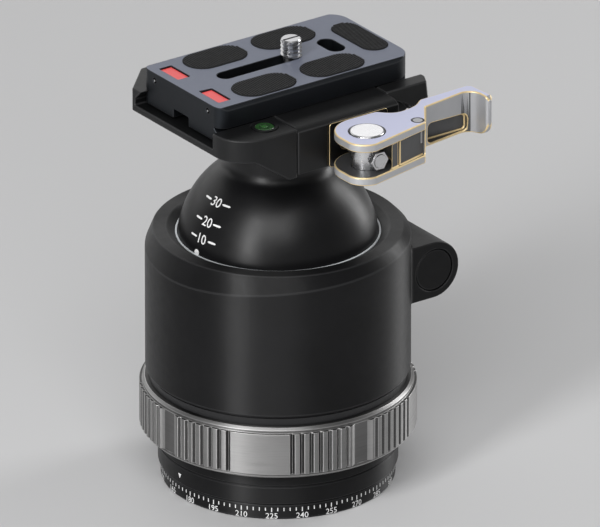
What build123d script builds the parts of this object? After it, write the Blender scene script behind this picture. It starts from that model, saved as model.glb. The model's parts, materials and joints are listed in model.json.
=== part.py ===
"""Tripod ball head: panning base, ring lock, large ball, lever clamp and quick plate.

Frame: the origin is the mouth of the tripod thread, in the middle of the underside. +Z is up.
+X runs along the clamp's jaws, the fixed jaw is at +Y, the sliding jaw and its lever are at -Y.
Lengths are millimetres and angles are degrees. Heights are stacked from the underside up, so
each piece sits on the one below it.
"""

import os
from math import cos, degrees, pi, radians, sin

from build123d import *

# Clearances
FIT = 0.05  # between pieces of one body that sit in each other
RUN = 0.15  # between pieces that turn or slide on each other
BUSH_RUN = 0.06  # radial running fit of the panning bush
BALL_GAP = 0.3  # between the round faces of the open ball stack
SLIDE_GAP = 0.3  # beside the sliding jaw
CUT = 1.0  # how far a cutting shape runs past the face it cuts

# Panning base
BASE_INSET = 0.8  # from the band's outside
BASE_H = 5.0
BASE_EDGE = 0.4
THREAD_R = 3.97  # core of a 3/8"-16 thread
BUSH_BODY_R = 8.0
BUSH_FLANGE_R = 10.5
BUSH_FLANGE_T = 2.0
SPIGOT_INSET = 9.7  # from the body's bore to the base's spigot
PAN_WASHER_T = 0.7
PAN_WASHER_W = 4.0
PAN_BUSH_T = 1.8
RETAINER_T = 3.0
RETAINER_LAP = 5.9
RETAINER_SCREWS = 4
RETAINER_SCREW_R = 2.0
RETAINER_SCREW_INSET = 7.0  # from the spigot's edge
RETAINER_SCREW_DEPTH = 5.5
RETAINER_HEAD_R = 3.8

# Lower housing
BAND_INSET = 3.7  # from the housing's outside
BAND_H = 10.2
BAND_GAP = 0.3
BAND_GROOVE_Z = 5.6  # above the band's lower edge
BAND_GROOVE_H = 0.4
BAND_GROOVE_DEPTH = 0.4
SHELF_T = 3.4
COLLAR_H = 5.0
COLLAR_WALL = 3.2

# Main housing
HOUSING_R = 39.4
HOUSING_STEP = 3.4  # from the housing's outside to its neck
NECK_WALL = 3.3
HOUSING_EDGE = 1.2
MOUTH_FLARE = 0.3
LIP_W = 2.1
LIP_T = 1.3
LIP_DROP = 1.4
LIP_ABOVE_BALL = 5.1  # top face above the ball's centre
BEVEL_RUN = 2.2
BEVEL_SHALLOW = 2.3
BEVEL_DEEP = 7.2  # on the side the head tilts to furthest
GRUB_SCREWS = 3
GRUB_R = 1.5
GRUB_L = 3.4
GRUB_SINK = 0.2
GRUB_Z = 2.2  # above the collar's foot
GRUB_TURN = 60.0

# Side boss
BOSS_R = 8.9
BOSS_OUT = 3.2  # its axis beyond the housing's outside
BOSS_BELOW_TOP = 18.4
BOSS_HALF_L = 20.0
BOSS_BORE_R = 4.0
BOSS_ROOT = 2.0
PLUG_R = 6.6
PLUG_T = 3.0
PLUG_RECESS = 0.3
PLUG_EDGE = 0.3

# Lock ring
RING_PROUD = 1.8  # beyond the housing's outside
RING_H = 16.2
RING_GAP = 0.3
RING_BORE_GAP = 0.3
RING_CHAMFER = 0.7
RING_LIP = 1.6
GRIP_RISE = 0.9  # the grips stand above the ring's lips
RING_GRIPS = 4
GRIP_TURN = 2.0
GROOVES_A_SIDE = 7
GROOVE_PITCH = 4.0
GROOVE_FIRST = 7.5  # from the middle of a grip to its first groove
GROOVE_HALF_W = 0.75
GROOVE_DEPTH = 0.8
RECESS_W = 4.6
RECESS_SLOPE = 1.7
RING_WASHER_T = 2.15
RING_WASHER_INSET = 1.0
LOCK_TURN = 60.0

# Cam drive
KEYS = 3
KEY_W = 10.0
KEY_H = 5.0
KEY_IN = 3.7  # into the cam ring from the bore
KEY_OUT = 2.0  # into the lock ring from the neck
WINDOW_SPARE = 1.2
CAM_WASHER_T = 0.8
CAM_T = 7.2
CAM_W = 12.4
LOBE_H = 2.0
LOBE_INSET = 2.4
LOBE_W = 8.0
LOBE_ANGLE = 44.0
LOBE_TAPER = 20.0
LIFT_T = 4.4
LIFT_PLAY = 0.1
GUIDE_PINS = 3
GUIDE_R = 1.25
GUIDE_DEPTH = 1.8
GUIDE_Z = 2.2  # above the lift ring's foot
GUIDE_TURN = 60.0
SPRING_H = 1.75
SPRING_T = 1.0
SPRING_INSET = 1.4
SPRING_W = 9.0

# Ball and its seats
BALL_SPACE = 2.7  # between the bore and the ball
STEM_R = 15.8
STEM_TOP = 35.9  # above the ball's centre
STEM_FILLET = 4.0
STEM_EDGE = 0.8
LINER_T = 1.7
LINER_ANGLE = 42.0
LINER_HOLE_ANGLE = 18.0
CUP_FLOOR = 3.8
CUP_HOLE_R = 8.0
CUP_ANGLE = 50.0
CUP_EDGE = 0.6
GLIDE_BELOW = 6.6  # foot of the glide ring below the ball's centre
CLIP_T = 1.0
CLIP_LAP = 1.2  # on each side of the bore
CLIP_MOUTH = 25.0
CLIP_GAP = 0.1

# Clamp base
CLAMP_HALF_L = 37.7
CLAMP_BACK = 31.5
CLAMP_FRONT = 32.0
CLAMP_CORNER = 10.5
CLAMP_FLOOR = 10.4  # floor above the clamp's underside
CLAMP_T = 15.5
WING_RISE = 8.3
WING_IN_X = 18.5
WING_OUT_X = 30.5
BACK_RISE = 6.0
BACK_RUN = 9.0
LUG_SLOPE_TOP = 25.0
LUG_SLOPE_FOOT = 30.0
RELIEF_R = 10.5
RELIEF_RISE = 2.5  # its axis above the clamp's underside
RELIEF_BACK = 24.0
BOLT_R = 4.0
BOLT_HEAD_R = 6.5
BOLT_HEAD_H = 4.2
BOLT_SINK = 0.4
BOLT_L = 26.0
BOLT_HEX = 3.0
BOLT_HEX_DEPTH = 2.5
TWIST_PIN_R = 1.5
TWIST_PIN_X = 11.0
TWIST_PIN_L = 9.0

# Bubble level
LEVEL_X = -22.4
LEVEL_Y = -24.7
LEVEL_R = 3.9
LEVEL_H = 5.0
LEVEL_RIM = 0.9
LEVEL_PROUD = 0.25

# Dovetail and sliding jaw
DOVETAIL_R = 19.6  # half width of the plate's dovetail foot
DOVETAIL_FOOT = 1.1
DOVETAIL_RISE = 3.2
JAW_LEFT = -15.5
JAW_RIGHT = 21.0
JAW_FOOT = 0.9  # above the clamp's underside
JAW_CHAMFER = 2.4
WEAR_T = 1.1
WEAR_LEFT = -5.0
WEAR_RIGHT = 16.0
WEAR_EDGE = 1.0
JAW_PIN_R = 2.0
JAW_PIN_X = (-10.5, 16.0)
JAW_PIN_Z = 5.2  # above the clamp's underside
JAW_PIN_IN = 8.0
JAW_PIN_OUT = 8.5
JAW_SPRING_R = 3.4
JAW_SPRING_WALL = 0.9
JAW_SPRING_L = 4.0
JAW_TRAVEL = 1.2  # over a quarter turn of the lever

# Lever
PIVOT_X = 1.0
CAM_R = 10.3  # against the wear plate when it is closed
LEVER_H = 13.2
LEVER_TOP_DROP = 0.6  # below the clamp's top
LEVER_PLATE_T = 2.6
CLEVIS_R = 8.0
CAM_STEPS = 6
# Corners of the lever from above, measured from its pivot
HEEL_FOOT_Y = -3.4  # the heel's flat side ends here
HEEL_BULGE = (-7.3, -7.2)
HEEL_FRONT = (-3.0, -9.1)
ARM_FRONT = (17.9, -4.6)
ARM_ROOT = (24.4, 4.6)
HOOK_ROOT = (38.6, 6.7)
HOOK_BEND = (42.0, 5.6)
HOOK_NECK = (43.2, 2.6)
HOOK_TIP = (43.2, 0.6)
HOOK_NOSE = (44.3, -0.5)
HOOK_TIP_BACK = (45.3, 0.6)
HOOK_BACK = (44.7, 8.9)
ARM_END = (43.3, 10.3)
ARM_BACK = (26.4, 9.8)
WAIST = [(23.8, 8.0), (18.6, 6.3), (14.4, 6.7), (11.4, 9.2)]
CAM_FLAT = 8.6  # how far the heel's face runs straight beside the closed jaw
WEB_SINK = 1.1
SLIT_X = 7.2
SLIT_W = 0.6
SLIT_DEPTH = 1.2
# Finger pocket under the arm's front
POCKET_LEFT = 25.6
POCKET_RIGHT = 41.0
POCKET_TOP_LEFT = 6.0  # below the lever's top
POCKET_TOP_RIGHT = 7.4
POCKET_CORNER = 1.4
POCKET_RIM = 0.8
ARM_WEB_T = 1.9
TIP_LOW_R = 5.0
TIP_TOP_R = 1.6
PIN_HEAD_R = 5.2
PIN_HEAD_T = 0.3
BARREL_R = 4.6
BARREL_PLAY = 0.2
STUD_R = 2.0
STUD_Z = 7.7  # above the clamp's underside
STUD_IN = 11.0
STUD_OUT = 6.9
NUT_R = 3.1
NUT_T = 1.9
RIVET_R = 1.6
RIVET_X = 16.8
RIVET_Y = -2.1
RIVET_L = 7.0

# Quick plate
PLATE_L = 70.0
PLATE_W = 40.0
SLAB_T = 6.7
PLATE_GAP = 0.15
PLATE_BEVEL = 1.0
PLATE_CORNER_LEFT = 3.5
PLATE_CORNER_RIGHT = 6.5
CHANNEL_W = 7.6
CHANNEL_H = 2.9
SLOT_W = 5.2
SLOT_LEFT = -18.9
SLOT_RIGHT = 4.8
CROSS_SLOT_X = 19.2
CROSS_SLOT_L = 10.2
CROSS_SLOT_W = 5.5
POCKET_W = 15.0
POCKET_ROOF = 3.4
PAD_L = 20.5
PAD_W = 11.6
PAD_X = (-13.9, 10.7)
PAD_Y = 12.4
END_PAD_INSET = 5.4  # from the plate's end
END_PAD_L = 22.4
END_PAD_W = 8.4
PAD_SINK = 1.0
PAD_PROUD = 0.35
INSERT_INSET = 5.1  # from the plate's end
INSERT_Y = 10.3
INSERT_L = 9.6
INSERT_W = 4.2
INSERT_SINK = 0.5
INSERT_T = 1.5
STOP_R = 0.8
STOP_Y = (13.4, -13.6)
STOP_BELOW_TOP = 2.5
STOP_L = 2.5

# Camera screw
SCREW_R = 3.175  # 1/4"-20
SCREW_L = 5.6
SCREW_TIP = 0.5
SCREW_NECK_R = 2.3
SCREW_HEAD_R = 6.5
SCREW_HEAD_T = 3.2
SCREW_SLOT_W = 1.4
SCREW_SLOT_H = 1.4
SCREW_WASHER_T = 0.7
SCREW_PLAY = 0.1

# Radii, from the housing's outside inwards
band_r = HOUSING_R - BAND_INSET
base_r = band_r - BASE_INSET
neck_r = HOUSING_R - HOUSING_STEP
bore_r = neck_r - NECK_WALL
mouth_r = bore_r + MOUTH_FLARE
lip_r = bore_r - LIP_W
bevel_top_r = HOUSING_R - BEVEL_RUN
boss_x = HOUSING_R + BOSS_OUT
ring_r = HOUSING_R + RING_PROUD
ring_washer_r = HOUSING_R - RING_WASHER_INSET
piston_r = bore_r - BALL_GAP
key_in_r = bore_r - KEY_IN
key_out_r = neck_r + KEY_OUT
cam_in_r = piston_r - CAM_W
lobe_out_r = piston_r - LOBE_INSET
spring_out_r = piston_r - SPRING_INSET
clip_in_r = bore_r - CLIP_LAP
clip_out_r = bore_r + CLIP_LAP
ball_r = bore_r - BALL_SPACE
spigot_r = bore_r - SPIGOT_INSET
pan_bore_r = spigot_r + BUSH_RUN + PAN_BUSH_T
retainer_r = spigot_r + RETAINER_LAP
screw_circle_r = spigot_r - RETAINER_SCREW_INSET
grub_in_r = neck_r - GRUB_SINK - GRUB_L

# Heights of the panning base, from the underside
washer_z = BASE_H + FIT
shelf_z = washer_z + PAN_WASHER_T + FIT
shelf_top = shelf_z + SHELF_T
spigot_top = shelf_top + PAN_WASHER_T + 2 * FIT
band_z = BASE_H + BAND_GAP
band_top = band_z + BAND_H
collar_top = band_top + COLLAR_H

# Heights of the lock, from the collar up
ring_z = band_top + RING_GAP
ring_top = ring_z + RING_H
housing_z = ring_top + RUN + RING_WASHER_T
cam_z = collar_top + CAM_WASHER_T + FIT
cam_top = cam_z + CAM_T
lift_z = cam_top + LOBE_H + LIFT_PLAY
lift_top = lift_z + LIFT_T
cup_z = lift_top + 2 * SPRING_H

# The ball's seats, from the cup up
liner_in_r = ball_r + BALL_GAP
liner_out_r = liner_in_r + LINER_T
seat_r = liner_out_r + BALL_GAP
ball_z = cup_z + CUP_FLOOR + seat_r
housing_top = ball_z + LIP_ABOVE_BALL
lip_top = housing_top - LIP_DROP
lip_z = lip_top - LIP_T
glide_z = ball_z - GLIDE_BELOW
glide_r = bore_r - RUN

# Heights of the clamp, from the ball up
clamp_z = ball_z + STEM_TOP
floor_z = clamp_z + CLAMP_FLOOR
clamp_top = clamp_z + CLAMP_T
wing_z = clamp_z + WING_RISE
slab_z = clamp_top + PLATE_GAP
plate_z = slab_z - DOVETAIL_RISE - DOVETAIL_FOOT
plate_top = slab_z + SLAB_T
jaw_face = DOVETAIL_R + RUN
jaw_tip = jaw_face - (clamp_top - plate_z - DOVETAIL_FOOT)
jaw_z = clamp_z + JAW_FOOT
wear_y = CLAMP_FRONT + WEAR_T
pivot_y = wear_y + RUN + CAM_R
lever_top = clamp_top - LEVER_TOP_DROP
lever_z = lever_top - LEVER_H
stud_z = clamp_z + STUD_Z
roof_z = plate_top - POCKET_ROOF


def sphere_angle_point(radius, angle):
    """Point (radius, height) on a sphere about the ball's centre, angle from straight down."""
    return radius * sin(radians(angle)), ball_z - radius * cos(radians(angle))


def sector(height, middle, span, inner_r, outer_r):
    """Ring sector on a level plane, turned to its middle angle."""
    plane = Plane.XY.offset(height).rotated((0, 0, middle - span / 2))
    with BuildSketch(plane, mode=Mode.PRIVATE) as shape:
        with BuildLine():
            Line((0, 0), (outer_r, 0))
            CenterArc((0, 0), outer_r, 0, span)
            PolarLine((0, 0), outer_r, span)
        make_face()
        Circle(inner_r, mode=Mode.SUBTRACT)
    return shape.sketch


# ---- Panning base: fixed to the tripod ----
with BuildPart() as base_disc:
    with BuildSketch(Plane.XZ):
        with BuildLine():
            Polyline(
                (BUSH_BODY_R + FIT, 0),
                (base_r, 0),
                (base_r, BASE_H),
                (spigot_r, BASE_H),
                (spigot_r, spigot_top),
                (BUSH_FLANGE_R + FIT, spigot_top),
                (BUSH_FLANGE_R + FIT, spigot_top - BUSH_FLANGE_T - FIT),
                (BUSH_BODY_R + FIT, spigot_top - BUSH_FLANGE_T - FIT),
                close=True,
            )
        make_face()
    revolve(axis=Axis.Z)
    chamfer(base_disc.edges().filter_by(GeomType.CIRCLE).group_by(SortBy.RADIUS)[-1], BASE_EDGE)
    with Locations(Plane.XY.offset(spigot_top)):
        with PolarLocations(screw_circle_r, RETAINER_SCREWS, start_angle=45):
            Hole(RETAINER_SCREW_R + FIT, depth=RETAINER_SCREW_DEPTH + FIT)

with BuildPart() as thread_bush:
    Cylinder(BUSH_BODY_R, spigot_top, align=(Align.CENTER, Align.CENTER, Align.MIN))
    with Locations((0, 0, spigot_top - BUSH_FLANGE_T)):
        Cylinder(BUSH_FLANGE_R, BUSH_FLANGE_T, align=(Align.CENTER, Align.CENTER, Align.MIN))
    Hole(THREAD_R)

with BuildPart() as pan_retainer:
    with BuildSketch(Plane.XY.offset(spigot_top)):
        Circle(retainer_r)
        Circle(BUSH_BODY_R + FIT, mode=Mode.SUBTRACT)
    extrude(amount=RETAINER_T)
    with Locations(Plane.XY.offset(spigot_top + RETAINER_T)):
        with PolarLocations(screw_circle_r, RETAINER_SCREWS, start_angle=45):
            CounterSinkHole(RETAINER_SCREW_R + FIT, RETAINER_HEAD_R + FIT)

with BuildPart() as retainer_screws:
    with PolarLocations(screw_circle_r, RETAINER_SCREWS, start_angle=45):
        with Locations((0, 0, spigot_top - RETAINER_SCREW_DEPTH)):
            Cylinder(
                RETAINER_SCREW_R,
                RETAINER_SCREW_DEPTH + RETAINER_T,
                align=(Align.CENTER, Align.CENTER, Align.MIN),
            )
        with Locations((0, 0, spigot_top + RETAINER_T)):
            Cone(
                RETAINER_SCREW_R,
                RETAINER_HEAD_R,
                RETAINER_HEAD_R - RETAINER_SCREW_R,
                align=(Align.CENTER, Align.CENTER, Align.MAX),
            )

# ---- Lower housing and pan bearing: turn with the body ----
with BuildPart() as lower_housing:
    with BuildSketch(Plane.XZ):
        with BuildLine():
            Polyline(
                (pan_bore_r + FIT, shelf_z),
                (base_r - BAND_GAP, shelf_z),
                (base_r - BAND_GAP, band_z),
                (band_r, band_z),
                (band_r, band_top),
                (bore_r - FIT, band_top),
                (bore_r - FIT, collar_top),
                (bore_r - COLLAR_WALL, collar_top),
                (bore_r - COLLAR_WALL, shelf_top),
                (pan_bore_r + FIT, shelf_top),
                close=True,
            )
        make_face()
        with Locations((band_r, band_z + BAND_GROOVE_Z)):
            Rectangle(2 * BAND_GROOVE_DEPTH, BAND_GROOVE_H, mode=Mode.SUBTRACT)
    revolve(axis=Axis.Z)
    with PolarLocations(0, GRUB_SCREWS, start_angle=GRUB_TURN):
        with Locations(Location((bore_r, 0, band_top + GRUB_Z), (0, 90, 0))):
            Cylinder(GRUB_R + FIT, 2 * (bore_r - grub_in_r + FIT), mode=Mode.SUBTRACT)

with BuildPart() as pan_bush:
    with BuildSketch(Plane.XY.offset(shelf_z)):
        Circle(pan_bore_r)
        Circle(spigot_r + BUSH_RUN, mode=Mode.SUBTRACT)
    extrude(amount=SHELF_T)

with BuildPart() as pan_washers:
    for height in (washer_z, shelf_top + FIT):
        with BuildSketch(Plane.XY.offset(height)):
            Circle(pan_bore_r + PAN_WASHER_W)
            Circle(pan_bore_r, mode=Mode.SUBTRACT)
        extrude(amount=PAN_WASHER_T)

# ---- Main housing ----
with BuildPart() as bevel_tool:
    with BuildSketch(Plane.XY.offset(housing_top - BEVEL_DEEP)):
        Circle(HOUSING_R + BOSS_R)
    extrude(amount=BEVEL_DEEP)
    steep_run = HOUSING_R - bevel_top_r
    wide_run = steep_run * BEVEL_DEEP / BEVEL_SHALLOW
    with BuildSketch(Plane.XY.offset(housing_top - BEVEL_DEEP)) as bevel_foot:
        with Locations(((wide_run - steep_run) / 2, 0)):
            Circle(bevel_top_r + (wide_run + steep_run) / 2)
    with BuildSketch(Plane.XY.offset(housing_top)) as bevel_head:
        Circle(bevel_top_r)
    loft(sections=[bevel_foot.sketch, bevel_head.sketch], mode=Mode.SUBTRACT)

with BuildPart() as main_housing:
    with BuildSketch(Plane.XZ):
        with BuildLine():
            Polyline(
                (bore_r, band_top),
                (neck_r, band_top),
                (neck_r, housing_z),
                (HOUSING_R - HOUSING_EDGE, housing_z),
                (HOUSING_R, housing_z + HOUSING_EDGE),
                (HOUSING_R, housing_top),
                (mouth_r, housing_top),
                (lip_r, lip_top),
                (lip_r, lip_z),
                (bore_r, lip_z),
                close=True,
            )
        make_face()
    revolve(axis=Axis.Z)
    # Side boss: a cross barrel with a flat top and foot that run into the wall
    boss_z = housing_top - BOSS_BELOW_TOP
    with Locations(Location((boss_x, 0, boss_z), (90, 0, 0))):
        Cylinder(BOSS_R, 2 * BOSS_HALF_L)
    with BuildSketch(Plane.XY.offset(boss_z - BOSS_R)) as boss_root:
        Circle(HOUSING_R)
        with Locations((boss_x / 2, 0)):
            Rectangle(boss_x, 2 * BOSS_HALF_L)
        fillet(boss_root.vertices().group_by(Axis.X)[0], BOSS_ROOT)
    extrude(amount=2 * BOSS_R)
    with Locations((0, 0, band_top)):
        Cylinder(
            bore_r,
            lip_z - band_top,
            align=(Align.CENTER, Align.CENTER, Align.MIN),
            mode=Mode.SUBTRACT,
        )
    add(bevel_tool.part, mode=Mode.SUBTRACT)
    # Cross bore of the boss, stepped for a plug at each end
    with Locations(Location((boss_x, 0, boss_z), (90, 0, 0))):
        Cylinder(BOSS_BORE_R, 2 * BOSS_HALF_L, mode=Mode.SUBTRACT)
    for side in (-1, 1):
        with Locations(Location((boss_x, side * BOSS_HALF_L, boss_z), (90, 0, 0))):
            Cylinder(PLUG_R + FIT, 2 * (PLUG_T + PLUG_RECESS), mode=Mode.SUBTRACT)
    # Snap ring groove under the glide ring
    with Locations((0, 0, glide_z - CLIP_T / 2 - CLIP_GAP)):
        Cylinder(clip_out_r + FIT, CLIP_T + 2 * FIT, mode=Mode.SUBTRACT)
    # Windows that the drive keys swing in, and cross holes for guide pins and grub screws
    window_angle = LOCK_TURN + 2 * (degrees(KEY_W / 2 / bore_r) + WINDOW_SPARE)
    window_z = cam_z + (CAM_T - KEY_H) / 2 - RUN
    for key in range(KEYS):
        middle = key * 360 / KEYS - LOCK_TURN / 2
        window = sector(window_z, middle, window_angle, bore_r - CUT, neck_r + CUT)
        extrude(window, amount=KEY_H + 2 * RUN, mode=Mode.SUBTRACT)
    for count, turn, height, radius in (
        (GUIDE_PINS, GUIDE_TURN, lift_z + GUIDE_Z, GUIDE_R),
        (GRUB_SCREWS, GRUB_TURN, band_top + GRUB_Z, GRUB_R),
    ):
        with PolarLocations(0, count, start_angle=turn):
            with Locations(Location(((bore_r + neck_r) / 2, 0, height), (0, 90, 0))):
                Cylinder(radius + FIT, NECK_WALL + CUT, mode=Mode.SUBTRACT)

with BuildPart() as housing_grub_screws:
    with PolarLocations(0, GRUB_SCREWS, start_angle=GRUB_TURN):
        with Locations(Location((grub_in_r + GRUB_L / 2, 0, band_top + GRUB_Z), (0, 90, 0))):
            Cylinder(GRUB_R, GRUB_L)

with BuildPart() as boss_plugs:
    for side in (-1, 1):
        middle = side * (BOSS_HALF_L - PLUG_RECESS - PLUG_T / 2)
        with Locations(Location((boss_x, middle, boss_z), (90, 0, 0))):
            Cylinder(PLUG_R, PLUG_T)
    chamfer(boss_plugs.edges().filter_by(GeomType.CIRCLE), PLUG_EDGE)

with BuildPart() as ring_washer:
    with BuildSketch(Plane.XY.offset(ring_top + RUN)):
        Circle(ring_washer_r)
        Circle(neck_r + FIT, mode=Mode.SUBTRACT)
    extrude(amount=RING_WASHER_T)

# ---- Lock ring and cam: turned by hand ----
with BuildPart() as lock_ring:
    with BuildSketch(Plane.XY.offset(ring_z)):
        Circle(ring_r - GRIP_RISE)
    extrude(amount=RING_H)
    chamfer(lock_ring.edges().filter_by(GeomType.CIRCLE), RING_CHAMFER)
    # Raised grips: V grooves on both sides of each thumb recess, smooth lands between them
    grip_r = ring_r + GRIP_RISE
    with BuildSketch(Plane.XY.offset(ring_z + RING_LIP)):
        Circle(ring_r)
        for grip in range(RING_GRIPS):
            middle = GRIP_TURN + grip * 360 / RING_GRIPS
            for groove in range(GROOVES_A_SIDE):
                for side in (-1, 1):
                    turn = middle + side * (GROOVE_FIRST + groove * GROOVE_PITCH)
                    with Locations(Location((0, 0, 0), (0, 0, turn))):
                        Polygon(
                            (ring_r - GROOVE_DEPTH, 0),
                            (ring_r + GROOVE_DEPTH, -2 * GROOVE_HALF_W),
                            (ring_r + GROOVE_DEPTH, 2 * GROOVE_HALF_W),
                            align=None,
                            mode=Mode.SUBTRACT,
                        )
            with Locations(Location((0, 0, 0), (0, 0, middle))):
                Polygon(
                    (ring_r - GRIP_RISE, -RECESS_W / 2),
                    (grip_r, -RECESS_W / 2 - 2 * RECESS_SLOPE),
                    (grip_r, RECESS_W / 2 + 2 * RECESS_SLOPE),
                    (ring_r - GRIP_RISE, RECESS_W / 2),
                    align=None,
                    mode=Mode.SUBTRACT,
                )
    extrude(amount=RING_H - 2 * RING_LIP)
    Hole(neck_r + RING_BORE_GAP)
    with PolarLocations(0, KEYS):
        with Locations(((key_in_r + key_out_r) / 2, 0, cam_z + CAM_T / 2)):
            Box(key_out_r - key_in_r + 2 * FIT, KEY_W + 2 * FIT, KEY_H + 2 * FIT, mode=Mode.SUBTRACT)

with BuildPart() as cam_ring:
    with BuildSketch(Plane.XY.offset(cam_z)):
        Circle(piston_r)
        Circle(cam_in_r, mode=Mode.SUBTRACT)
    extrude(amount=CAM_T)
    for key in range(KEYS):
        lobe = sector(cam_top, key * 360 / KEYS, LOBE_ANGLE, lobe_out_r - LOBE_W, lobe_out_r)
        extrude(lobe, amount=LOBE_H, taper=LOBE_TAPER)
    with PolarLocations(0, KEYS):
        with Locations(((key_in_r + key_out_r) / 2, 0, cam_z + CAM_T / 2)):
            Box(key_out_r - key_in_r + 2 * FIT, KEY_W + 2 * FIT, KEY_H + 2 * FIT, mode=Mode.SUBTRACT)

with BuildPart() as drive_keys:
    with PolarLocations(0, KEYS):
        with Locations(((key_in_r + key_out_r) / 2, 0, cam_z + CAM_T / 2)):
            Box(key_out_r - key_in_r, KEY_W, KEY_H)

with BuildPart() as cam_washer:
    with BuildSketch(Plane.XY.offset(collar_top)):
        Circle(piston_r)
        Circle(bore_r - COLLAR_WALL, mode=Mode.SUBTRACT)
    extrude(amount=CAM_WASHER_T)

# ---- Press stack: rises when the ring is turned ----
with BuildPart() as lift_ring:
    with BuildSketch(Plane.XY.offset(lift_z)):
        Circle(piston_r)
        Circle(cam_in_r, mode=Mode.SUBTRACT)
        with PolarLocations(piston_r, GUIDE_PINS, start_angle=GUIDE_TURN):
            Rectangle(2 * (GUIDE_DEPTH + RUN), 2 * (GUIDE_R + RUN), mode=Mode.SUBTRACT)
    extrude(amount=LIFT_T)

with BuildPart() as guide_pins:
    pin_l = NECK_WALL + BALL_GAP + GUIDE_DEPTH
    with PolarLocations(0, GUIDE_PINS, start_angle=GUIDE_TURN):
        with Locations(Location((neck_r - pin_l / 2, 0, lift_z + GUIDE_Z), (0, 90, 0))):
            Cylinder(GUIDE_R, pin_l)

with BuildPart() as disc_springs:
    with BuildSketch(Plane.XZ):
        for foot, lean in ((lift_top, 1), (cup_z, -1)):
            rise = lean * (SPRING_H - SPRING_T)
            with BuildLine():
                Polyline(
                    (spring_out_r, foot),
                    (spring_out_r - SPRING_W, foot + rise),
                    (spring_out_r - SPRING_W, foot + rise + lean * SPRING_T),
                    (spring_out_r, foot + lean * SPRING_T),
                    close=True,
                )
            make_face()
    revolve(axis=Axis.Z)

with BuildPart() as pressure_cup:
    rim_r, rim_z = sphere_angle_point(seat_r, CUP_ANGLE)
    with BuildSketch(Plane.XY.offset(cup_z)):
        Circle(piston_r)
    extrude(amount=rim_z - cup_z)
    with Locations((0, 0, ball_z)):
        Sphere(seat_r, mode=Mode.SUBTRACT)
    Hole(CUP_HOLE_R)
    chamfer(pressure_cup.edges().filter_by(GeomType.CIRCLE).group_by(SortBy.RADIUS)[-1], CUP_EDGE)

# ---- Ball seats ----
with BuildPart() as liner_dish:
    with BuildSketch(Plane.XZ):
        with BuildLine():
            middle = (LINER_HOLE_ANGLE + LINER_ANGLE) / 2
            outer, inner = (
                [sphere_angle_point(r, turn) for turn in (LINER_HOLE_ANGLE, middle, LINER_ANGLE)]
                for r in (liner_out_r, liner_in_r)
            )
            ThreePointArc(*outer)
            ThreePointArc(*inner)
            Line(outer[0], inner[0])
            Line(outer[2], inner[2])
        make_face()
    revolve(axis=Axis.Z)

with BuildPart() as glide_ring:
    with BuildSketch(Plane.XY.offset(glide_z)):
        Circle(glide_r)
    extrude(amount=lip_z - RUN - glide_z)
    rim_out_r = lip_r - RUN
    with BuildSketch(Plane.XY.offset(lip_z - RUN)):
        Circle(rim_out_r)
    extrude(amount=lip_top + RUN - lip_z)
    with Locations((0, 0, ball_z)):
        Sphere(ball_r + RUN, mode=Mode.SUBTRACT)

with BuildPart() as glide_clip:
    with BuildSketch(Plane.XY.offset(glide_z - CLIP_T - CLIP_GAP)):
        Circle(clip_out_r)
        Circle(clip_in_r, mode=Mode.SUBTRACT)
        with Locations((0, -clip_out_r)):
            Rectangle(CLIP_MOUTH, clip_out_r, mode=Mode.SUBTRACT)
    extrude(amount=CLIP_T)

# ---- Ball ----
bolt_top = floor_z - BOLT_SINK
with BuildPart() as ball:
    with Locations((0, 0, ball_z)):
        Sphere(ball_r)
        Cylinder(STEM_R, STEM_TOP, align=(Align.CENTER, Align.CENTER, Align.MIN))
    stem_edges = ball.edges().filter_by(lambda edge: abs(edge.length - 2 * pi * STEM_R) < FIT)
    fillet(stem_edges.sort_by(Axis.Z)[0], STEM_FILLET)
    chamfer(ball.faces().sort_by(Axis.Z)[-1].edges(), STEM_EDGE)
    with Locations(Plane.XY.offset(clamp_z)):
        Hole(BOLT_R + FIT, depth=BOLT_L - (bolt_top - BOLT_HEAD_H - clamp_z) + CUT)
        with Locations((TWIST_PIN_X, 0), (-TWIST_PIN_X, 0)):
            Hole(TWIST_PIN_R + FIT, depth=TWIST_PIN_L / 2 + FIT)

with BuildPart() as clamp_bolt:
    with Locations((0, 0, bolt_top)):
        Cylinder(BOLT_HEAD_R, BOLT_HEAD_H, align=(Align.CENTER, Align.CENTER, Align.MAX))
    with Locations((0, 0, bolt_top - BOLT_HEAD_H)):
        Cylinder(BOLT_R, BOLT_L, align=(Align.CENTER, Align.CENTER, Align.MAX))
    with BuildSketch(Plane.XY.offset(bolt_top)):
        RegularPolygon(BOLT_HEX, 6, major_radius=False)
    extrude(amount=-BOLT_HEX_DEPTH, mode=Mode.SUBTRACT)

with BuildPart() as twist_pins:
    with Locations((TWIST_PIN_X, 0, clamp_z), (-TWIST_PIN_X, 0, clamp_z)):
        Cylinder(TWIST_PIN_R, TWIST_PIN_L)

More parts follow.
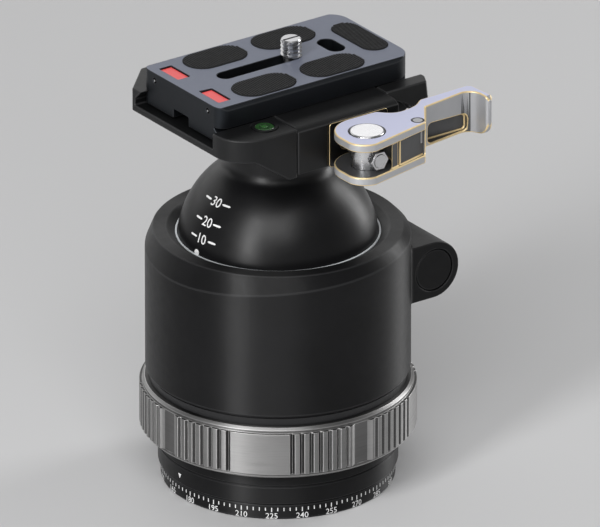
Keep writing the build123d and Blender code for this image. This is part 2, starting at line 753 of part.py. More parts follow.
# ---- Clamp base ----
with BuildPart() as clamp_base:
    # Side view along the jaws: wings rise from the middle block
    with BuildSketch(Plane.XZ.offset(-CLAMP_BACK)):
        with BuildLine():
            Polyline(
                (-CLAMP_HALF_L, clamp_top),
                (-CLAMP_HALF_L, wing_z),
                (-WING_OUT_X, wing_z),
                (-WING_IN_X, clamp_z),
                (WING_IN_X, clamp_z),
                (WING_OUT_X, wing_z),
                (CLAMP_HALF_L, wing_z),
                (CLAMP_HALF_L, clamp_top),
                close=True,
            )
        make_face()
    extrude(amount=CLAMP_BACK + CLAMP_FRONT)
    # Outline from above
    with BuildSketch(Plane.XY.offset(clamp_z)):
        with BuildLine():
            Polyline(
                (-CLAMP_HALF_L, CLAMP_BACK - CLAMP_CORNER),
                (-CLAMP_HALF_L + CLAMP_CORNER, CLAMP_BACK),
                (CLAMP_HALF_L - CLAMP_CORNER, CLAMP_BACK),
                (CLAMP_HALF_L, CLAMP_BACK - CLAMP_CORNER),
                (CLAMP_HALF_L, CLAMP_CORNER - CLAMP_FRONT),
                (CLAMP_HALF_L - CLAMP_CORNER / 2, -CLAMP_FRONT),
                (-CLAMP_HALF_L + CLAMP_CORNER, -CLAMP_FRONT),
            )
            CenterArc(
                (-CLAMP_HALF_L + CLAMP_CORNER, CLAMP_CORNER - CLAMP_FRONT), CLAMP_CORNER, 180, 90
            )
            Line(
                (-CLAMP_HALF_L, -CLAMP_FRONT + CLAMP_CORNER),
                (-CLAMP_HALF_L, CLAMP_BACK - CLAMP_CORNER),
            )
        make_face()
    extrude(amount=CLAMP_T, mode=Mode.INTERSECT)
    # Slope under the back edge and down the front of the right lug
    with BuildSketch(Plane.YZ.offset(-CLAMP_HALF_L)):
        Polygon(
            (CLAMP_BACK + CUT, clamp_z - CUT),
            (CLAMP_BACK + CUT, clamp_z + BACK_RISE + CUT * BACK_RISE / BACK_RUN),
            (CLAMP_BACK - BACK_RUN - CUT * BACK_RUN / BACK_RISE, clamp_z - CUT),
            align=None,
        )
    extrude(amount=2 * CLAMP_HALF_L, mode=Mode.SUBTRACT)
    with BuildSketch(Plane.YZ.offset(JAW_RIGHT)):
        Polygon(
            (-LUG_SLOPE_TOP, clamp_top),
            (-LUG_SLOPE_FOOT, wing_z),
            (-LUG_SLOPE_FOOT, clamp_z - CUT),
            (-CLAMP_FRONT - CUT, clamp_z - CUT),
            (-CLAMP_FRONT - CUT, clamp_top + CUT),
            (-LUG_SLOPE_TOP, clamp_top + CUT),
            align=None,
        )
    extrude(amount=CLAMP_HALF_L, mode=Mode.SUBTRACT)
    # Round relief in the lug beside the jaw
    with Locations(Location((JAW_RIGHT, -RELIEF_BACK, clamp_z + RELIEF_RISE), (90, 0, 0))):
        Cylinder(
            RELIEF_R,
            CLAMP_FRONT,
            align=(Align.CENTER, Align.CENTER, Align.MIN),
            mode=Mode.SUBTRACT,
        )
    # Dovetail channel: the fixed jaw leans over the plate's foot
    with BuildSketch(Plane.YZ.offset(-CLAMP_HALF_L)):
        with BuildLine():
            Polyline(
                (-jaw_face, clamp_top + CUT),
                (-jaw_face, floor_z),
                (jaw_face, floor_z),
                (jaw_face, plate_z + DOVETAIL_FOOT),
                (jaw_tip, clamp_top),
                (jaw_tip, clamp_top + CUT),
                close=True,
            )
        make_face()
    extrude(amount=2 * CLAMP_HALF_L, mode=Mode.SUBTRACT)
    # Bay of the sliding jaw
    with BuildSketch(Plane.XY.offset(clamp_z)):
        Polygon(
            (JAW_LEFT - SLIDE_GAP, -jaw_face + SLIDE_GAP),
            (JAW_RIGHT + SLIDE_GAP, -jaw_face + SLIDE_GAP),
            (JAW_RIGHT + SLIDE_GAP, -CLAMP_FRONT - CUT),
            (JAW_LEFT - SLIDE_GAP, -CLAMP_FRONT - CUT),
            align=None,
        )
    extrude(amount=CLAMP_T, mode=Mode.SUBTRACT)
    # Bolt, twist pins, guide pins, stud and level
    with Locations(Plane.XY.offset(floor_z)):
        CounterBoreHole(BOLT_R + FIT, BOLT_HEAD_R + FIT, BOLT_SINK + BOLT_HEAD_H + FIT)
    with Locations((TWIST_PIN_X, 0, clamp_z), (-TWIST_PIN_X, 0, clamp_z)):
        Cylinder(TWIST_PIN_R + FIT, TWIST_PIN_L + 2 * FIT, mode=Mode.SUBTRACT)
    for x in JAW_PIN_X:
        with Locations(Location((x, -jaw_face + SLIDE_GAP, clamp_z + JAW_PIN_Z), (90, 0, 0))):
            Cylinder(JAW_PIN_R + FIT, 2 * (JAW_PIN_IN + FIT), mode=Mode.SUBTRACT)
    with Locations(Location((PIVOT_X, -jaw_face + SLIDE_GAP, stud_z), (90, 0, 0))):
        Cylinder(STUD_R + FIT, 2 * (STUD_IN + FIT), mode=Mode.SUBTRACT)
    with Locations((LEVEL_X, LEVEL_Y, clamp_top)):
        Cylinder(
            LEVEL_R + FIT,
            LEVEL_H - LEVEL_PROUD + FIT,
            align=(Align.CENTER, Align.CENTER, Align.MAX),
            mode=Mode.SUBTRACT,
        )

with BuildPart() as level_cup:
    with Locations((LEVEL_X, LEVEL_Y, clamp_top + LEVEL_PROUD)):
        Cylinder(LEVEL_R, LEVEL_H, align=(Align.CENTER, Align.CENTER, Align.MAX))
        Cylinder(
            LEVEL_R - LEVEL_RIM,
            LEVEL_H - LEVEL_RIM,
            align=(Align.CENTER, Align.CENTER, Align.MAX),
            mode=Mode.SUBTRACT,
        )

with BuildPart() as level_vial:
    with Locations((LEVEL_X, LEVEL_Y, clamp_top + LEVEL_PROUD - LEVEL_H + LEVEL_RIM + FIT)):
        Cylinder(
            LEVEL_R - LEVEL_RIM - FIT,
            LEVEL_H - LEVEL_RIM - 2 * FIT,
            align=(Align.CENTER, Align.CENTER, Align.MIN),
        )
    fillet(level_vial.faces().sort_by(Axis.Z)[-1].edges(), LEVEL_RIM / 2)

with BuildPart() as jaw_pins:
    for x in JAW_PIN_X:
        pin_foot = (x, -jaw_face + SLIDE_GAP + JAW_PIN_IN, clamp_z + JAW_PIN_Z)
        with Locations(Location(pin_foot, (90, 0, 0))):
            Cylinder(
                JAW_PIN_R, JAW_PIN_IN + JAW_PIN_OUT, align=(Align.CENTER, Align.CENTER, Align.MIN)
            )

with BuildPart() as jaw_springs:
    for x in JAW_PIN_X:
        with Locations(Location((x, -jaw_face + SLIDE_GAP, clamp_z + JAW_PIN_Z), (90, 0, 0))):
            Cylinder(
                JAW_SPRING_R - RUN, JAW_SPRING_L, align=(Align.CENTER, Align.CENTER, Align.MIN)
            )
            Cylinder(
                JAW_SPRING_R - RUN - JAW_SPRING_WALL,
                JAW_SPRING_L,
                align=(Align.CENTER, Align.CENTER, Align.MIN),
                mode=Mode.SUBTRACT,
            )

# ---- Sliding jaw ----
with BuildPart() as sliding_jaw:
    with BuildSketch(Plane.YZ.offset(JAW_LEFT)):
        with BuildLine():
            Polyline(
                (-jaw_tip, clamp_top),
                (-jaw_face, plate_z + DOVETAIL_FOOT),
                (-jaw_face, jaw_z),
                (-CLAMP_FRONT, jaw_z),
                (-CLAMP_FRONT, clamp_top - JAW_CHAMFER / 2),
                (-CLAMP_FRONT + JAW_CHAMFER, clamp_top),
                close=True,
            )
        make_face()
    extrude(amount=JAW_RIGHT - JAW_LEFT)
    for x in JAW_PIN_X:
        with Locations(Location((x, -jaw_face, clamp_z + JAW_PIN_Z), (90, 0, 0))):
            Cylinder(
                JAW_PIN_R + RUN,
                JAW_PIN_OUT + RUN,
                align=(Align.CENTER, Align.CENTER, Align.MIN),
                mode=Mode.SUBTRACT,
            )
            Cylinder(
                JAW_SPRING_R,
                JAW_SPRING_L + RUN,
                align=(Align.CENTER, Align.CENTER, Align.MIN),
                mode=Mode.SUBTRACT,
            )
    with Locations(Location((PIVOT_X, -CLAMP_FRONT, stud_z), (90, 0, 0))):
        Cylinder(STUD_R + RUN, CLAMP_FRONT, mode=Mode.SUBTRACT)

with BuildPart() as wear_plate:
    with BuildSketch(Plane.XZ.offset(CLAMP_FRONT)):
        with Locations(((WEAR_LEFT + WEAR_RIGHT) / 2, (jaw_z + lever_top) / 2)):
            RectangleRounded(WEAR_RIGHT - WEAR_LEFT, lever_top - jaw_z, WEAR_EDGE)
    extrude(amount=WEAR_T)
    with Locations(Location((PIVOT_X, -CLAMP_FRONT, stud_z), (90, 0, 0))):
        Cylinder(STUD_R + RUN, 4 * WEAR_T, mode=Mode.SUBTRACT)

# ---- Lever: its heel is a cam whose radius falls evenly as it opens ----
def lever_plane(height):
    """Level plane with its origin on the lever's pivot."""
    return Plane(origin=(PIVOT_X, -pivot_y, height))


with BuildPart() as cam_lever:
    with BuildSketch(lever_plane(lever_z)):
        with BuildLine():
            cam_points = []
            for step in range(CAM_STEPS + 1):
                turn = radians(90 + step * 90 / CAM_STEPS)
                radius = CAM_R - step * JAW_TRAVEL / CAM_STEPS
                cam_points.append((radius * cos(turn), radius * sin(turn)))
            cam = Spline(cam_points)
            heel_foot = (cam_points[-1][0], HEEL_FOOT_Y)
            Line(cam @ 1, heel_foot)
            ThreePointArc(heel_foot, HEEL_BULGE, HEEL_FRONT)
            Polyline(HEEL_FRONT, ARM_FRONT, ARM_ROOT, HOOK_ROOT)
            ThreePointArc(HOOK_ROOT, HOOK_BEND, HOOK_NECK)
            Line(HOOK_NECK, HOOK_TIP)
            ThreePointArc(HOOK_TIP, HOOK_NOSE, HOOK_TIP_BACK)
            Polyline(HOOK_TIP_BACK, HOOK_BACK, ARM_END, ARM_BACK)
            cam_flat = (CAM_FLAT, CAM_R)
            Spline([ARM_BACK, *WAIST, cam_flat], tangents=[(-1, -0.4), (-1, 0)])
            Line(cam_flat, cam @ 0)
        make_face()
    extrude(amount=LEVER_H)
    # Clevis: open all round the heel, closed by the web at the arm's root
    with BuildSketch(lever_plane(lever_z + LEVER_PLATE_T)):
        Circle(CLEVIS_R)
        with Locations((STUD_R + SLIDE_GAP, 0)):
            Rectangle(2 * CAM_R, 2 * CAM_R + CUT, align=(Align.MAX, Align.CENTER))
        Polygon(
            (0, -CAM_R),
            (0, HEEL_FRONT[1] + WEB_SINK),
            (ARM_FRONT[0], ARM_FRONT[1] + WEB_SINK),
            (ARM_FRONT[0] + CUT, -CAM_R),
            align=None,
        )
        with Locations((SLIT_X, -CAM_R)):
            Rectangle(SLIT_W, CAM_R - CLEVIS_R / 2 + SLIT_DEPTH, align=(Align.CENTER, Align.MIN))
    extrude(amount=LEVER_H - 2 * LEVER_PLATE_T, mode=Mode.SUBTRACT)
    # Finger pocket in the arm's front, with a deep flange above it and a thin rim below
    arm_front = Plane(origin=(PIVOT_X, -pivot_y, lever_z), x_dir=(1, 0, 0), z_dir=(0, -1, 0))
    with BuildSketch(arm_front) as finger_pocket:
        Polygon(
            (POCKET_LEFT, POCKET_RIM),
            (POCKET_RIGHT, POCKET_RIM),
            (POCKET_RIGHT, LEVER_H - POCKET_TOP_RIGHT),
            (POCKET_LEFT, LEVER_H - POCKET_TOP_LEFT),
            align=None,
        )
        fillet(finger_pocket.vertices(), POCKET_CORNER)
    extrude(amount=ARM_WEB_T - ARM_BACK[1], mode=Mode.SUBTRACT)
    # Round the hook's tip as seen from its end, wide below and small above
    tip_y = HOOK_NOSE[1] - pivot_y
    with BuildSketch(Plane.YZ.offset(PIVOT_X + HOOK_ROOT[0])):
        for height, radius, lean in ((lever_z, TIP_LOW_R, 1), (lever_top, TIP_TOP_R, -1)):
            with Locations((tip_y, height)):
                Rectangle(2 * radius, 2 * radius)
            with Locations((tip_y + radius, height + lean * radius)):
                Circle(radius, mode=Mode.SUBTRACT)
    extrude(amount=CAM_R, mode=Mode.SUBTRACT)
    with Locations((PIVOT_X, -pivot_y, lever_top)):
        Cylinder(PIN_HEAD_R + BUSH_RUN, 3 * LEVER_PLATE_T, mode=Mode.SUBTRACT)
    with Locations((PIVOT_X, -pivot_y, lever_z)):
        Cylinder(BARREL_R + BUSH_RUN, 3 * LEVER_PLATE_T, mode=Mode.SUBTRACT)
    with Locations((PIVOT_X + RIVET_X, -pivot_y + RIVET_Y, lever_top)):
        Cylinder(RIVET_R + FIT, 2 * (RIVET_L + FIT), mode=Mode.SUBTRACT)

with BuildPart() as lever_rivet:
    with Locations((PIVOT_X + RIVET_X, -pivot_y + RIVET_Y, lever_top)):
        Cylinder(RIVET_R, RIVET_L, align=(Align.CENTER, Align.CENTER, Align.MAX))

with BuildPart() as pivot_barrel:
    with Locations((PIVOT_X, -pivot_y, lever_z)):
        Cylinder(BARREL_R, LEVER_H, align=(Align.CENTER, Align.CENTER, Align.MIN))
    with Locations((PIVOT_X, -pivot_y, lever_top + PIN_HEAD_T)):
        Cylinder(
            PIN_HEAD_R,
            LEVER_PLATE_T - BARREL_PLAY + PIN_HEAD_T,
            align=(Align.CENTER, Align.CENTER, Align.MAX),
        )
    chamfer(pivot_barrel.faces().sort_by(Axis.Z)[-1].edges(), PIN_HEAD_T)
    with Locations(Location((PIVOT_X, -pivot_y, stud_z), (90, 0, 0))):
        Cylinder(STUD_R + FIT, 4 * BARREL_R, mode=Mode.SUBTRACT)

with BuildPart() as draw_stud:
    with Locations(Location((PIVOT_X, -jaw_face + SLIDE_GAP + STUD_IN, stud_z), (90, 0, 0))):
        Cylinder(
            STUD_R,
            STUD_IN + pivot_y + STUD_OUT - jaw_face + SLIDE_GAP,
            align=(Align.CENTER, Align.CENTER, Align.MIN),
        )

with BuildPart() as stud_nut:
    with BuildSketch(Plane.XZ.offset(pivot_y + BARREL_R + RUN)):
        with Locations((PIVOT_X, stud_z)):
            RegularPolygon(NUT_R, 6)
            Circle(STUD_R + FIT, mode=Mode.SUBTRACT)
    extrude(amount=NUT_T)

# ---- Quick plate ----
with BuildPart() as quick_plate:
    with BuildSketch(Plane.YZ.offset(-PLATE_L / 2)):
        with BuildLine():
            half = [
                (PLATE_W / 2 - PLATE_BEVEL, plate_top),
                (PLATE_W / 2, plate_top - PLATE_BEVEL),
                (PLATE_W / 2, slab_z),
                (DOVETAIL_R - DOVETAIL_RISE, slab_z),
                (DOVETAIL_R, plate_z + DOVETAIL_FOOT),
                (DOVETAIL_R, plate_z),
            ]
            Polyline(*half, *[(-y, z) for y, z in reversed(half)], close=True)
        make_face()
        with Locations((0, plate_z)):
            Rectangle(CHANNEL_W, 2 * CHANNEL_H, mode=Mode.SUBTRACT)
    extrude(amount=PLATE_L)
    with BuildSketch(Plane.XY.offset(plate_z)) as plate_outline:
        Rectangle(PLATE_L, PLATE_W)
        corners = plate_outline.vertices().group_by(Axis.X)
        fillet(corners[0], PLATE_CORNER_LEFT)
        fillet(plate_outline.vertices().group_by(Axis.X)[-1], PLATE_CORNER_RIGHT)
    extrude(amount=plate_top - plate_z, mode=Mode.INTERSECT)
    # Slots for the camera screw and its pocket, from above and from below
    slot_mid = (SLOT_LEFT + SLOT_RIGHT) / 2
    slot_l = SLOT_RIGHT - SLOT_LEFT
    with BuildSketch(Plane.XY.offset(plate_top)):
        with Locations((slot_mid, 0)):
            SlotCenterToCenter(slot_l, SLOT_W)
        with Locations((CROSS_SLOT_X, 0)):
            SlotOverall(CROSS_SLOT_L, CROSS_SLOT_W, rotation=90)
    extrude(amount=-(plate_top - plate_z), mode=Mode.SUBTRACT)
    with BuildSketch(Plane.XY.offset(plate_z)):
        with Locations((slot_mid, 0)):
            SlotCenterToCenter(slot_l, POCKET_W)
    extrude(amount=roof_z - plate_z, mode=Mode.SUBTRACT)
    # Recesses of the pads and inserts
    with BuildSketch(Plane.XY.offset(plate_top)):
        with Locations(*[(x, side * PAD_Y) for x in PAD_X for side in (-1, 1)]):
            SlotOverall(PAD_L + 2 * FIT, PAD_W + 2 * FIT)
        with Locations((PLATE_L / 2 - END_PAD_INSET, 0)):
            SlotOverall(END_PAD_L + 2 * FIT, END_PAD_W + 2 * FIT, rotation=90)
    extrude(amount=-PAD_SINK, mode=Mode.SUBTRACT)
    with BuildSketch(Plane.XY.offset(plate_top)):
        with Locations(*[(INSERT_INSET - PLATE_L / 2, side * INSERT_Y) for side in (-1, 1)]):
            Rectangle(INSERT_W + 2 * FIT, INSERT_L + 2 * FIT)
    extrude(amount=-(INSERT_SINK + INSERT_T), mode=Mode.SUBTRACT)
    for y in STOP_Y:
        with Locations(Location((-PLATE_L / 2, y, plate_top - STOP_BELOW_TOP), (0, 90, 0))):
            Cylinder(STOP_R + FIT, 2 * (STOP_L + FIT), mode=Mode.SUBTRACT)

with BuildPart() as rubber_pads:
    with BuildSketch(Plane.XY.offset(plate_top - PAD_SINK)):
        with Locations(*[(x, side * PAD_Y) for x in PAD_X for side in (-1, 1)]):
            SlotOverall(PAD_L, PAD_W)
        with Locations((PLATE_L / 2 - END_PAD_INSET, 0)):
            SlotOverall(END_PAD_L, END_PAD_W, rotation=90)
    extrude(amount=PAD_SINK + PAD_PROUD)

with BuildPart() as plate_inserts:
    with BuildSketch(Plane.XY.offset(plate_top - INSERT_SINK)):
        with Locations(*[(INSERT_INSET - PLATE_L / 2, side * INSERT_Y) for side in (-1, 1)]):
            Rectangle(INSERT_W, INSERT_L)
    extrude(amount=-INSERT_T)

with BuildPart() as plate_stops:
    for y in STOP_Y:
        with Locations(Location((-PLATE_L / 2, y, plate_top - STOP_BELOW_TOP), (0, 90, 0))):
            Cylinder(STOP_R, STOP_L, align=(Align.CENTER, Align.CENTER, Align.MIN))

# ---- Camera screw ----
with BuildPart() as screw_washer:
    with BuildSketch(Plane.XY.offset(roof_z - SCREW_PLAY)):
        with Locations((SLOT_RIGHT, 0)):
            Circle(SCREW_HEAD_R)
            Circle(SCREW_NECK_R + RUN, mode=Mode.SUBTRACT)
    extrude(amount=-SCREW_WASHER_T)

with BuildPart() as camera_screw:
    head_z = roof_z - 2 * SCREW_PLAY - SCREW_WASHER_T
    with Locations((SLOT_RIGHT, 0, head_z)):
        Cylinder(SCREW_HEAD_R, SCREW_HEAD_T, align=(Align.CENTER, Align.CENTER, Align.MAX))
        Cylinder(
            SCREW_NECK_R,
            plate_top + PAD_PROUD - head_z,
            align=(Align.CENTER, Align.CENTER, Align.MIN),
        )
    with Locations((SLOT_RIGHT, 0, plate_top + PAD_PROUD)):
        Cylinder(SCREW_R, SCREW_L, align=(Align.CENTER, Align.CENTER, Align.MIN))
    chamfer(camera_screw.faces().sort_by(Axis.Z)[-1].edges(), SCREW_TIP)
    with Locations((SLOT_RIGHT, 0, head_z - SCREW_HEAD_T)):
        Box(2 * SCREW_HEAD_R, SCREW_SLOT_W, 2 * SCREW_SLOT_H, mode=Mode.SUBTRACT)

pieces = {
    "base_disc": base_disc,
    "thread_bush": thread_bush,
    "pan_retainer": pan_retainer,
    "retainer_screws": retainer_screws,
    "lower_housing": lower_housing,
    "pan_bush": pan_bush,
    "pan_washers": pan_washers,
    "main_housing": main_housing,
    "housing_grub_screws": housing_grub_screws,
    "boss_plugs": boss_plugs,
    "ring_washer": ring_washer,
    "lock_ring": lock_ring,
    "cam_ring": cam_ring,
    "drive_keys": drive_keys,
    "cam_washer": cam_washer,
    "lift_ring": lift_ring,
    "guide_pins": guide_pins,
    "disc_springs": disc_springs,
    "pressure_cup": pressure_cup,
    "liner_dish": liner_dish,
    "glide_ring": glide_ring,
    "glide_clip": glide_clip,
    "ball": ball,
    "clamp_bolt": clamp_bolt,
    "twist_pins": twist_pins,
    "clamp_base": clamp_base,
    "level_cup": level_cup,
    "level_vial": level_vial,
    "jaw_pins": jaw_pins,
    "jaw_springs": jaw_springs,
    "sliding_jaw": sliding_jaw,
    "wear_plate": wear_plate,
    "cam_lever": cam_lever,
    "lever_rivet": lever_rivet,
    "pivot_barrel": pivot_barrel,
    "draw_stud": draw_stud,
    "stud_nut": stud_nut,
    "quick_plate": quick_plate,
    "rubber_pads": rubber_pads,
    "plate_inserts": plate_inserts,
    "plate_stops": plate_stops,
    "screw_washer": screw_washer,
    "camera_screw": camera_screw,
}

os.makedirs("parts", exist_ok=True)
for name, piece in pieces.items():
    piece.part.label = name
    export_step(piece.part, f"parts/{name}.step")
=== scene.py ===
"""Dresses the tripod ball head: finishes, scales, threads, ribbed pads and a plain studio."""

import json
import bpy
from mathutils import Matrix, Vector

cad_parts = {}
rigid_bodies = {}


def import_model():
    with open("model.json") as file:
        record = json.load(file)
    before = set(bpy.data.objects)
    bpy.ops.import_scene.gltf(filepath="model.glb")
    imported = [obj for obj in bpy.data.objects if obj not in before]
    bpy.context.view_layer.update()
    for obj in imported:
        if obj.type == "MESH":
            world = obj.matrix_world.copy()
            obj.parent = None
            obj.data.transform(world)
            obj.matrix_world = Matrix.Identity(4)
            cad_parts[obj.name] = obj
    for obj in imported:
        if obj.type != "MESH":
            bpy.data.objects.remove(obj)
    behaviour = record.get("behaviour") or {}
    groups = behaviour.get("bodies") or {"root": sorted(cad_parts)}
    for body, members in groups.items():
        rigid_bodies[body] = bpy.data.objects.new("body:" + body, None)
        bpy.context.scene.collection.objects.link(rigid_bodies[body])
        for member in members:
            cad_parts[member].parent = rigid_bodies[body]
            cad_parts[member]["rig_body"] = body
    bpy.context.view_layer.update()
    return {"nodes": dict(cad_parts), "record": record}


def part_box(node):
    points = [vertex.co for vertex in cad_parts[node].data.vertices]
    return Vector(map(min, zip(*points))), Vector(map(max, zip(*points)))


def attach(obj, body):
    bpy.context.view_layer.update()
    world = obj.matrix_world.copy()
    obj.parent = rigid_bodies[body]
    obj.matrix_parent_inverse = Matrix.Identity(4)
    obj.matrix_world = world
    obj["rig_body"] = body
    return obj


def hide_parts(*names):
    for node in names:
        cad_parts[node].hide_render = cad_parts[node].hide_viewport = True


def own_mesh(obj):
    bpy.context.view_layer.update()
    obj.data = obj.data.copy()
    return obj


bl_info = {
    "name": "Tripod Ball Head",
    "version": (1, 0, 0),
    "blender": (4, 5, 0),
    "location": "View3D > Sidebar > Ball Head",
    "description": "Finishes, scales, threads and studio of a tripod ball head",
    "category": "Object",
}

from math import cos, hypot, pi, radians, sin, sqrt, tau

import bmesh
import bpy
from bpy.props import FloatProperty, FloatVectorProperty, IntProperty, PointerProperty
from bpy.types import NodeSocket, Operator, Panel, PropertyGroup
from mathutils import Matrix, Vector

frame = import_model()
NODES = frame["nodes"]
SLOTS = {part["node"]: part["material_slot"] for part in frame["record"]["subparts"]}
MM = 0.001
MERGE = 0.002 * MM  # points nearer than this become one


def number(name, description, default, kind=FloatProperty, **more):
    """A property, without a unit if no more is said."""
    return kind(name=name, description=description, default=default, **more)


def size(name, description, millimetres):
    """A length property given in millimetres."""
    return number(name, description, millimetres * MM, min=0.0, unit="LENGTH", precision=5)


def colour(name, description, default):
    """A colour property."""
    limits = {"min": 0.0, "max": 1.0}
    return number(name, description, default, FloatVectorProperty, subtype="COLOR", **limits)


def angle(name, description, degrees):
    """An angle property given in degrees."""
    return number(name, description, radians(degrees), subtype="ANGLE")


class BallHeadColours(PropertyGroup):
    """Colours of the finishes."""

    housing: colour("Housing", "Black anodised body", (0.0045, 0.0045, 0.005))
    ball: colour("Ball", "Black anodised ball", (0.004, 0.004, 0.0045))
    clamp: colour("Clamp", "Black anodised clamp", (0.005, 0.0052, 0.0056))
    plate: colour("Plate", "Black sides of the quick plate", (0.0035, 0.0038, 0.0046))
    # Painted light: the plate's top face is paler than its black sides, for the light that falls
    # on it
    lit_plate_top: colour("Plate top", "Slate top of the quick plate", (0.155, 0.168, 0.215))
    ring: colour("Lock ring", "Grey turned metal of the lock ring", (0.31, 0.307, 0.305))
    lever: colour("Lever", "Silver anodising of the lever", (0.48, 0.485, 0.50))
    # Partly painted light: the lever's top face is paler than its sides for the light that falls
    # on it, with a lavender tint of its own
    lit_lever_top: colour("Lever top", "Pale lavender of the lever's top face", (0.64, 0.66, 0.84))
    # Painted highlight: a warm glint on the lever's rounded edges and on the black steel's edges
    lever_edge_glint: colour("Lever rim", "Warm bare metal on the lever's edges", (0.86, 0.68, 0.38))
    # Painted highlight: a pale colour mixed faintly into the rounded edges of the black anodised
    # parts
    glinting: colour("Bare metal", "Metal under worn black edges", (0.16, 0.16, 0.165))
    steel: colour("Steel", "Bright steel of screws and pins", (0.60, 0.60, 0.61))
    dark_steel: colour("Dark steel", "Blackened steel", (0.035, 0.035, 0.038))
    bronze: colour("Bronze", "Bearing bronze", (0.45, 0.29, 0.12))
    rubber: colour("Rubber", "Black rubber of the pads", (0.010, 0.010, 0.011))
    insert: colour("Insert", "Red inserts of the plate", (0.90, 0.085, 0.085))
    rim: colour("Rim", "Pale plastic of the seat ring", (0.62, 0.65, 0.67))
    slip: colour("Washers", "Black plastic of the washers", (0.008, 0.008, 0.009))
    vial: colour("Vial", "Green fluid of the bubble level", (0.035, 0.12, 0.032))
    marking: colour("Markings", "White of the scales and marks", (0.80, 0.80, 0.80))
    floor: colour("Floor", "Pale floor and backdrop", (0.60, 0.60, 0.605))


class BallHeadEdges(PropertyGroup):
    """Widths of the rounded edges."""

    body: size("Body edge", "Rounding of the housing's edges", 0.35)
    ring: size("Ring edge", "Rounding of the lock ring's edges", 0.12)
    clamp: size("Clamp edge", "Rounding of the clamp's edges", 0.45)
    plate: size("Plate edge", "Rounding of the plate's edges", 0.25)
    lever: size("Lever edge", "Rounding of the lever's edges", 0.40)
    small: size("Small edge", "Rounding of screws and nuts", 0.15)
    dome: size("Dome edge", "Rounding of the plate's end pins", 0.50)


class BallHeadScales(PropertyGroup):
    """Sizes of the printed scales and marks."""

    proud: size("Print height", "Height of the print on the metal", 0.03)
    weight: number("Weight", "How bold the numbers are", 0.005)
    pan_step: angle("Tick step", "Angle from tick to tick", 3.0)
    pan_every: number("Long tick every", "Ticks from one number to the next", 5, IntProperty)
    pan_top: size("Tick top", "Height of the ticks' upper ends", 3.85)
    pan_short: size("Short tick", "Length of a short tick", 1.05)
    pan_long: size("Long tick", "Length of a long tick", 1.35)
    pan_width: size("Tick width", "Width of a tick", 0.30)
    pan_number: size("Pan number", "Height of the pan scale's numbers", 1.80)
    pan_number_z: size("Pan number place", "Height of the numbers' middle", 1.25)
    pan_zero: angle("Pan zero", "Where the pan scale's zero stands", 6.4)
    ball_turn: angle("Ball scale", "Where the ball scale stands round the ball", -176.5)
    ball_number: size("Ball number", "Height of the ball scale's numbers", 3.0)
    ball_dash: size("Ball dash", "Length of a dash of the ball scale", 3.2)
    ball_dash_w: size("Ball dash width", "Width of a dash of the ball scale", 0.6)
    ball_gap: size("Ball dash gap", "From a number's middle to its dashes", 2.5)
    dot: size("Ball dot", "Radius of the dot at the ball's seat", 1.1)
    pan_mark: angle("Pan mark", "Where the triangle over the pan scale stands", 180)
    ring_mark: angle("Ring mark", "Where the tick over the lock ring stands", 146)


class BallHeadThreads(PropertyGroup):
    """Sizes of the two threads."""

    camera_radius: size("Camera radius", "Outer radius of the camera screw", 3.175)
    camera_pitch: size("Camera pitch", "Pitch of the camera screw", 1.27)
    camera_depth: size("Camera depth", "Depth of the camera screw's thread", 0.55)
    base_radius: size("Tripod radius", "Inner radius of the tripod thread", 3.97)
    base_pitch: size("Tripod pitch", "Pitch of the tripod thread", 1.5875)
    base_depth: size("Tripod depth", "Depth of the tripod thread", 0.62)


class BallHeadPads(PropertyGroup):
    """Ribs of the rubber pads."""

    pitch: size("Rib pitch", "Distance from rib to rib", 0.8)
    width: size("Rib width", "Width of a rib", 0.42)
    height: size("Rib height", "Height of a rib", 0.25)


class BallHeadStudio(PropertyGroup):
    """Place of the camera and power of the lights."""

    azimuth: angle("Azimuth", "Turn of the camera round the head", -35.5)
    elevation: angle("Elevation", "Height angle of the camera", 24.2)
    distance: size("Distance", "Camera to the head", 6000)
    frame_width: size("Frame width", "Width seen at the head", 177.36)
    aim_right: size("Aim right", "Point looked at, right of the pan axis", 6.5)
    aim_height: size("Aim height", "Height of the point looked at", 67.3)
    key: number("Key light", "Power of the soft light above the camera", 7.5)
    left: number("Left strip", "Power of the tall light at the left", 9.0)
    right: number("Right strip", "Power of the tall light at the right", 5.85)
    back: number("Back light", "Power of the wide light behind", 5.4)
    world: number("World light", "Strength of the even light", 0.18)


GROUPS = {
    "head_colours": BallHeadColours,
    "head_edges": BallHeadEdges,
    "head_scales": BallHeadScales,
    "head_threads": BallHeadThreads,
    "head_pads": BallHeadPads,
    "head_studio": BallHeadStudio,
}


class TreeBuilder:
    """Builds a node tree one node at a time."""

    def __init__(self, tree):
        self.tree = tree

    def feed(self, socket, *values):
        """Sets a socket, or joins other sockets to it."""
        for value in values:
            if isinstance(value, NodeSocket):
                self.tree.links.new(value, socket)
            else:
                socket.default_value = value

    def add(self, kind, *inputs, **named):
        """Adds a node and feeds its inputs, in order or by capitalised name, with underscores
        for spaces. Names in lower case are the node's own settings."""
        made = self.tree.nodes.new(kind)
        sockets = dict(enumerate(inputs))
        for name, value in named.items():
            if name[0].isupper():
                sockets[name.replace("_", " ")] = value
            else:
                setattr(made, name, value)
        for key, value in sockets.items():
            self.feed(made.inputs[key], value)
        return made

    def node(self, kind, *inputs, **named):
        """Adds a node and returns its first output."""
        return self.add(kind, *inputs, **named).outputs[0]

    def math(self, operation, *values):
        """A math node's result."""
        return self.node("ShaderNodeMath", *values, operation=operation)

    def vector(self, x=0.0, y=0.0, z=0.0):
        """A vector of three values or sockets."""
        return self.node("ShaderNodeCombineXYZ", x, y, z)


